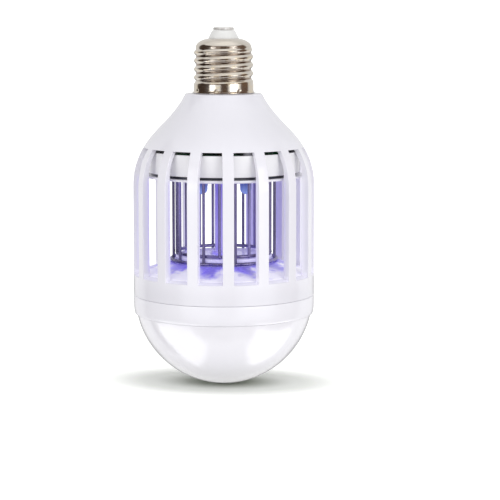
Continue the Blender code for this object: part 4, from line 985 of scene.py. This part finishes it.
def baskets():
    tree = basket_tree()
    shared = {"Wire Radius": ROD_R * MM, "Ring Wire Radius": RING_WIRE_R * MM, "Top Level": ROD_TOP * MM}
    sets = (
        ("inner", INNER_ROD_R, INNER_RING_R, INNER_RING_LEVEL, INNER_ROD_ANGLE),
        ("outer", OUTER_ROD_R, OUTER_RING_R, OUTER_RING_LEVEL, ROD_ANGLE),
    )
    for name, circle, ring, level, start in sets:
        sizes = {"Circle Radius": circle * MM, "Ring Radius": ring * MM, "Ring Level": level * MM}
        values = {"Wires": ROD_COUNT, "Start Angle": math.radians(start), **shared, **sizes}
        basket = grown(name + "_wire_basket", bpy.data.meshes.new(name), tree, values, WIRE, 50.0)
        hand_over(basket, "grid_wire", name + "_electrode")


def violet_lamps():
    """Round-nosed lamps with a flange and two leads up to their board."""
    outline = [(0, UV_FLANGE_TOP), (UV_FLANGE_R, UV_FLANGE_TOP, 0.15), (UV_FLANGE_R, UV_FLANGE_FOOT, 0.15)]
    outline += [(UV_R, UV_FLANGE_FOOT, 0.1), *arc(UV_TIP + UV_R, UV_R, range(0, -90, -9)), (0, UV_TIP)]
    bm = bmesh.new()
    centre = place(UV_RING_R, 0)[:2]
    revolve(bm, eased(outline, 0.1), 48, centre)
    for side in (-1, 1):
        lead = bmesh.ops.create_cube(bm, size=1.0)["verts"]
        bmesh.ops.scale(bm, vec=(UV_LEAD_WIDTH, UV_LEAD_WIDTH, UV_LEAD_LENGTH), verts=lead)
        bmesh.ops.translate(bm, vec=(side * UV_LEAD_OFFSET, centre[1], UV_LEAD_LEVEL), verts=lead)
    lamps = repeated("violet_lamps", bm, UV_COUNT, UV_ANGLE, LENS)
    hand_over(lamps, "violet_lens", "uv_lamp_1", "uv_lamp_2", "uv_lamp_3", "uv_lamp_4")


def centre_column():
    """Hollow post with a ring against the plate and one against the pedestal."""
    top, foot, end = HUB_BOTTOM - FIT, PEDESTAL_TOP + FIT, PEDESTAL_TOP - COLUMN_TENON
    under, over = top - COLUMN_RING, foot + COLUMN_RING
    outline = [(COLUMN_BORE_R, ROD_TOP), (COLUMN_R, ROD_TOP), (COLUMN_R, top), (COLUMN_RING_R, top, 0.2)]
    outline += [(COLUMN_RING_R, under, 0.4), (COLUMN_R, under, 0.5), (COLUMN_R, over, 0.5)]
    outline += [(COLUMN_RING_R, over, 0.4), (COLUMN_RING_R, foot, 0.2), (COLUMN_R, foot)]
    outline += [(COLUMN_R, end), (COLUMN_BORE_R, end)]
    hand_over(turned("lead_column", outline, COLUMN, 0.2, 64), "column_white", "centre_column")


def cage_floor():
    """Pedestal, flat, slope and wall, with a lip that the collar holds against the housing's ledge."""

    def sloping(radius):
        return FLOOR_TOP - FLOOR_SLOPE * (radius - FLOOR_IN_R)

    rim_r, lip = CAGE_INNER_R - FIT, LEDGE_BOTTOM - FIT
    inside, flat, pedestal = rim_r - FLOOR_WALL, FLOOR_TOP - FLOOR_WALL, PEDESTAL_TOP - FLOOR_WALL
    outline = [(PEDESTAL_HOLE_R, PEDESTAL_TOP), (PEDESTAL_R, PEDESTAL_TOP, 0.6), (PEDESTAL_R, FLOOR_TOP, 0.4)]
    outline += [(FLOOR_IN_R, FLOOR_TOP, 1.0), (rim_r, sloping(rim_r)), (rim_r, lip)]
    outline += [(LIP_R, lip), (LIP_R, lip - LIP), (inside, lip - LIP), (inside, sloping(inside) - FLOOR_WALL)]
    outline += [(FLOOR_STEP_R, flat), (PEDESTAL_INSIDE_R, flat)]
    outline += [(PEDESTAL_INSIDE_R, pedestal), (PEDESTAL_HOLE_R, pedestal)]
    hand_over(turned("sloping_floor", outline, FLOOR, 0.25), "housing_white", "cage_floor")


# Light at the foot


def lamp_collar():
    """Ring between two seams: a spigot in the housing, a turned-in foot, and a ledge for the heat spreader."""
    height = COLLAR_EDGE - COLLAR_END
    turn_in = []
    for angle in (22.5, 45, 67.5):
        turn = math.radians(angle)
        turn_in.append((COLLAR_END_R + COLLAR_TURN * math.cos(turn), COLLAR_EDGE - height * math.sin(turn), 0))
    spigot_top = LEDGE_BOTTOM - FIT - LIP - FIT
    outline = [(COLLAR_BORE_R, spigot_top), (LIP_R, spigot_top), (LIP_R, COLLAR_TOP), (BODY_R, COLLAR_TOP, 0.4)]
    outline += [(BODY_R, COLLAR_EDGE, 0), *turn_in, (COLLAR_END_R, COLLAR_END, 0.35), (COLLAR_SEAT_R, COLLAR_END)]
    outline += [(COLLAR_SEAT_R, SPREADER_LEDGE_FOOT), (SPREADER_LEDGE_R, SPREADER_LEDGE_FOOT)]
    outline += [(SPREADER_LEDGE_R, SPREADER_LEDGE_TOP), (COLLAR_BORE_R, SPREADER_LEDGE_TOP)]
    hand_over(turned("foot_collar", outline, COLLAR, 0.25, 160), "housing_white", "lamp_collar")


def light_dome():
    """Hollow dome: its outside from the pole up to the seat, its rim, and its inside back to the pole."""
    seat = math.degrees(math.asin((DOME_SEAT - DOME_CENTRE) / DOME_R))
    inner, bore = DOME_R - DOME_WALL, DOME_RIM_R - DOME_WALL
    start = -math.degrees(math.acos(bore / inner))
    outline = arc(DOME_CENTRE, DOME_R, [-90 + (seat + 90) * step / 40 for step in range(41)])
    outline += [(DOME_RIM_R, DOME_SEAT, 0.2), (DOME_RIM_R, DOME_RIM_TOP, 0.2), (bore, DOME_RIM_TOP, 0.2)]
    outline += arc(DOME_CENTRE, inner, [start + (-90 - start) * step / 24 for step in range(25)])
    hand_over(turned("opal_dome", outline, DOME, 0.2, 160), "milky_dome", "light_dome")


# Pieces kept from the frame, with their finishes


def dress_kept_nodes():
    kept = {
        "uv_lamp_board": BOARD, "driver_board": BOARD, "supply_capacitor": SLEEVE, "transformer_core": FERRITE,
        "transformer_coil": TAPE, "grid_capacitor": RED_DIP, "fuse_resistor": RESISTOR, "bridge_rectifier": CHIP,
        "driver_chip": CHIP, "live_lead": LEAD_RED, "neutral_lead": LEAD_BLACK, "inner_grid_lead": LEAD_WHITE,
        "outer_grid_lead": LEAD_WHITE, "lamp_lead": LEAD_WHITE, "plate_screw": ZINC, "board_screw": ZINC,
        "spreader_screw": ZINC, "heat_spreader": ALUMINIUM, "lamp_board": LAMP_BOARD, "lamp_led": PHOSPHOR,
    }
    for node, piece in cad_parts.items():
        for start, material in kept.items():
            if node.startswith(start):
                for slot in piece.material_slots:
                    slot.material = material


screw_shell()
centre_contact()
cap_insulator()
cage_housing()
upper_cup()
grid_plate()
baskets()
violet_lamps()
centre_column()
cage_floor()
lamp_collar()
light_dome()
dress_kept_nodes()


# Floor, light and camera


def studio_floor():
    """Pale floor that shows white where no shadow falls on it, with a painted contact shadow under the object on
    top of its real shadow.
    """
    bm = bmesh.new()
    bmesh.ops.create_circle(bm, cap_ends=True, segments=128, radius=60000.0)
    bmesh.ops.translate(bm, vec=(0, 0, DOME_CENTRE - DOME_R - 0.02), verts=bm.verts)
    material = bpy.data.materials.new("pale_floor")
    graph = cleared(material)
    flat = graph.vector("MULTIPLY", graph.node("ShaderNodeTexCoord", output="Object"), (0.6, 1.0, 0.0))
    reach = graph.vector("LENGTH", flat, output="Value")
    # Painted contact shadow: near the object the white glow is held back and the colour turns grey-green,
    # stretched sideways. Far off the floor is evenly white.
    white_share = reach.ramp(0.020, 0.038) * 0.42 + reach.ramp(0.1, 0.5) * 0.5
    painted_shadow_tone = graph.mix(reach.ramp(0.003, 0.020), (0.34, 0.37, 0.31), (0.93, 0.95, 0.91))
    white = graph.node("ShaderNodeAddShader", {
        0: graph.node("ShaderNodeBsdfDiffuse", {"Color": painted_shadow_tone}),
        1: graph.node("ShaderNodeEmission", {"Color": PURE_WHITE, "Strength": white_share}),
    })
    surface = graph.node("ShaderNodeMixShader", {
        0: graph.node("ShaderNodeLightPath").out("Is Camera Ray"),
        1: graph.node("ShaderNodeBsdfDiffuse", {"Color": (0.88, 0.88, 0.88)}),
        2: white,
    })
    graph.node("ShaderNodeOutputMaterial", {"Surface": surface})
    floor = shaped("studio_floor", bm, material)
    floor.visible_glossy = False


def reflected_card(name, faces, colour, strength):
    """A bright or dark card round the object, seen only where something glossy reflects it."""
    bm = bmesh.new()
    for corners in faces:
        bm.faces.new([bm.verts.new(corner) for corner in corners])
    material = bpy.data.materials.new(name)
    graph = cleared(material)
    material.cycles.emission_sampling = "NONE"
    glow = graph.node("ShaderNodeEmission", {"Color": colour, "Strength": strength})
    graph.node("ShaderNodeOutputMaterial", {"Surface": glow})
    card = shaped(name, bm, material)
    card.visible_camera = card.visible_diffuse = card.visible_transmission = card.visible_shadow = False


def strip(start, end, low, high, radius=900.0):
    """The faces of an upright strip round the object, each 8 degrees wide at most."""
    count = math.ceil(abs(end - start) / 8.0)
    turns = [start + (end - start) * step / count for step in range(count + 1)]
    return [
        [place(radius, a, low), place(radius, b, low), place(radius, b, high), place(radius, a, high)]
        for a, b in zip(turns, turns[1:])
    ]


def cards():
    """Cards about the dome in the camera's directions, strips round the object, and a card behind it."""
    view = Matrix.Rotation(math.radians(VIEW_TURN), 3, "Z") @ Matrix.Rotation(math.radians(90 - VIEW_DOWN), 3, "X")

    def seen_at(x, y, z):
        return Vector((0, 0, DOME_CENTRE)) + view @ Vector((x, y, z))

    left = ((-112, -60), (-128, 40), (-236, 206), (-722, 329), (-881, 97), (-815, -191), (-686, -303), (-250, -81))
    right = ((-248, 206), (-119, -86), (-216, -141), (-606, -297), (-729, -207), (-603, 150))
    for name, across, corners in (("low_left_card", -250, left), ("low_right_card", 250, right)):
        reflected_card(name, [[seen_at(across, *corner) for corner in corners]], PURE_WHITE, 2.7)
    sectors = (
        ("dark_left_card", -110.0, -46.0, 0.8),
        ("dark_front_card", -3.0, 26.0, 1.5),
        ("dark_right_card", 76.0, 116.0, 2.2),
    )
    for name, start, end, strength in sectors:
        reflected_card(name, strip(start, end, -1300.0, 750.0), CARD_BROWN, strength)
    for name, low, high in (("high_brown_card", 60.0, 700.0), ("low_brown_card", -1200.0, -420.0)):
        reflected_card(name, strip(-110.0, 116.0, low, high, 940.0), CARD_BROWN, 2.6)
    reflected_card("pale_back_card", strip(116.0, 250.0, -157.0, 1300.0), PURE_WHITE, 0.85)
    square = ((-1, -1), (1, -1), (1, 1), (-1, 1))
    behind = [seen_at(420.0 * x, 420.0 * y + 60.0, -900.0) for x, y in square]
    reflected_card("grey_back_card", [behind], PURE_WHITE, 0.35)


def studio_light():
    """White surroundings that light the object less than they show, and three softboxes."""
    world = bpy.data.worlds.new("white_room")
    bpy.context.scene.world = world
    graph = cleared(world)
    path = graph.node("ShaderNodeLightPath")
    seen = path.out("Is Camera Ray").at_least(path.out("Is Glossy Ray")).at_least(path.out("Is Transmission Ray"))
    lit = graph.node("ShaderNodeBackground", {"Color": PURE_WHITE, "Strength": 0.72})
    white = graph.node("ShaderNodeBackground", {"Color": PURE_WHITE, "Strength": 1.0})
    surface = graph.node("ShaderNodeMixShader", {0: seen, 1: lit, 2: white})
    graph.node("ShaderNodeOutputWorld", {"Surface": surface})
    target = Vector((0, 0, -0.09))
    softboxes = (
        ("left_softbox", (-0.62, -0.75, 0.12), 0.55, 1.85),
        ("right_softbox", (0.72, -0.62, 0.14), 0.55, 2.8),
        ("top_softbox", (0.1, -0.1, 0.9), 0.8, 0.4),
    )
    for name, spot, size, power in softboxes:
        data = bpy.data.lights.new(name, "AREA")
        data.shape, data.size, data.energy = "SQUARE", size, power
        lamp = added(name, data)
        lamp.location = spot
        lamp.rotation_euler = (target - Vector(spot)).to_track_quat("-Z", "Y").to_euler()


def camera():
    data = bpy.data.cameras.new("view")
    data.sensor_width, data.lens = 36.0, FOCAL
    data.clip_start, data.clip_end = 0.05, 200.0
    viewer = added("view", data)
    viewer.location = place(VIEW_DISTANCE, VIEW_SIDE, VIEW_LEVEL) * MM
    viewer.rotation_euler = (math.radians(90 - VIEW_DOWN), 0.0, math.radians(VIEW_TURN))
    bpy.context.scene.camera = viewer


studio_floor()
cards()
studio_light()
camera()
bpy.context.scene.view_settings.view_transform = "Standard"
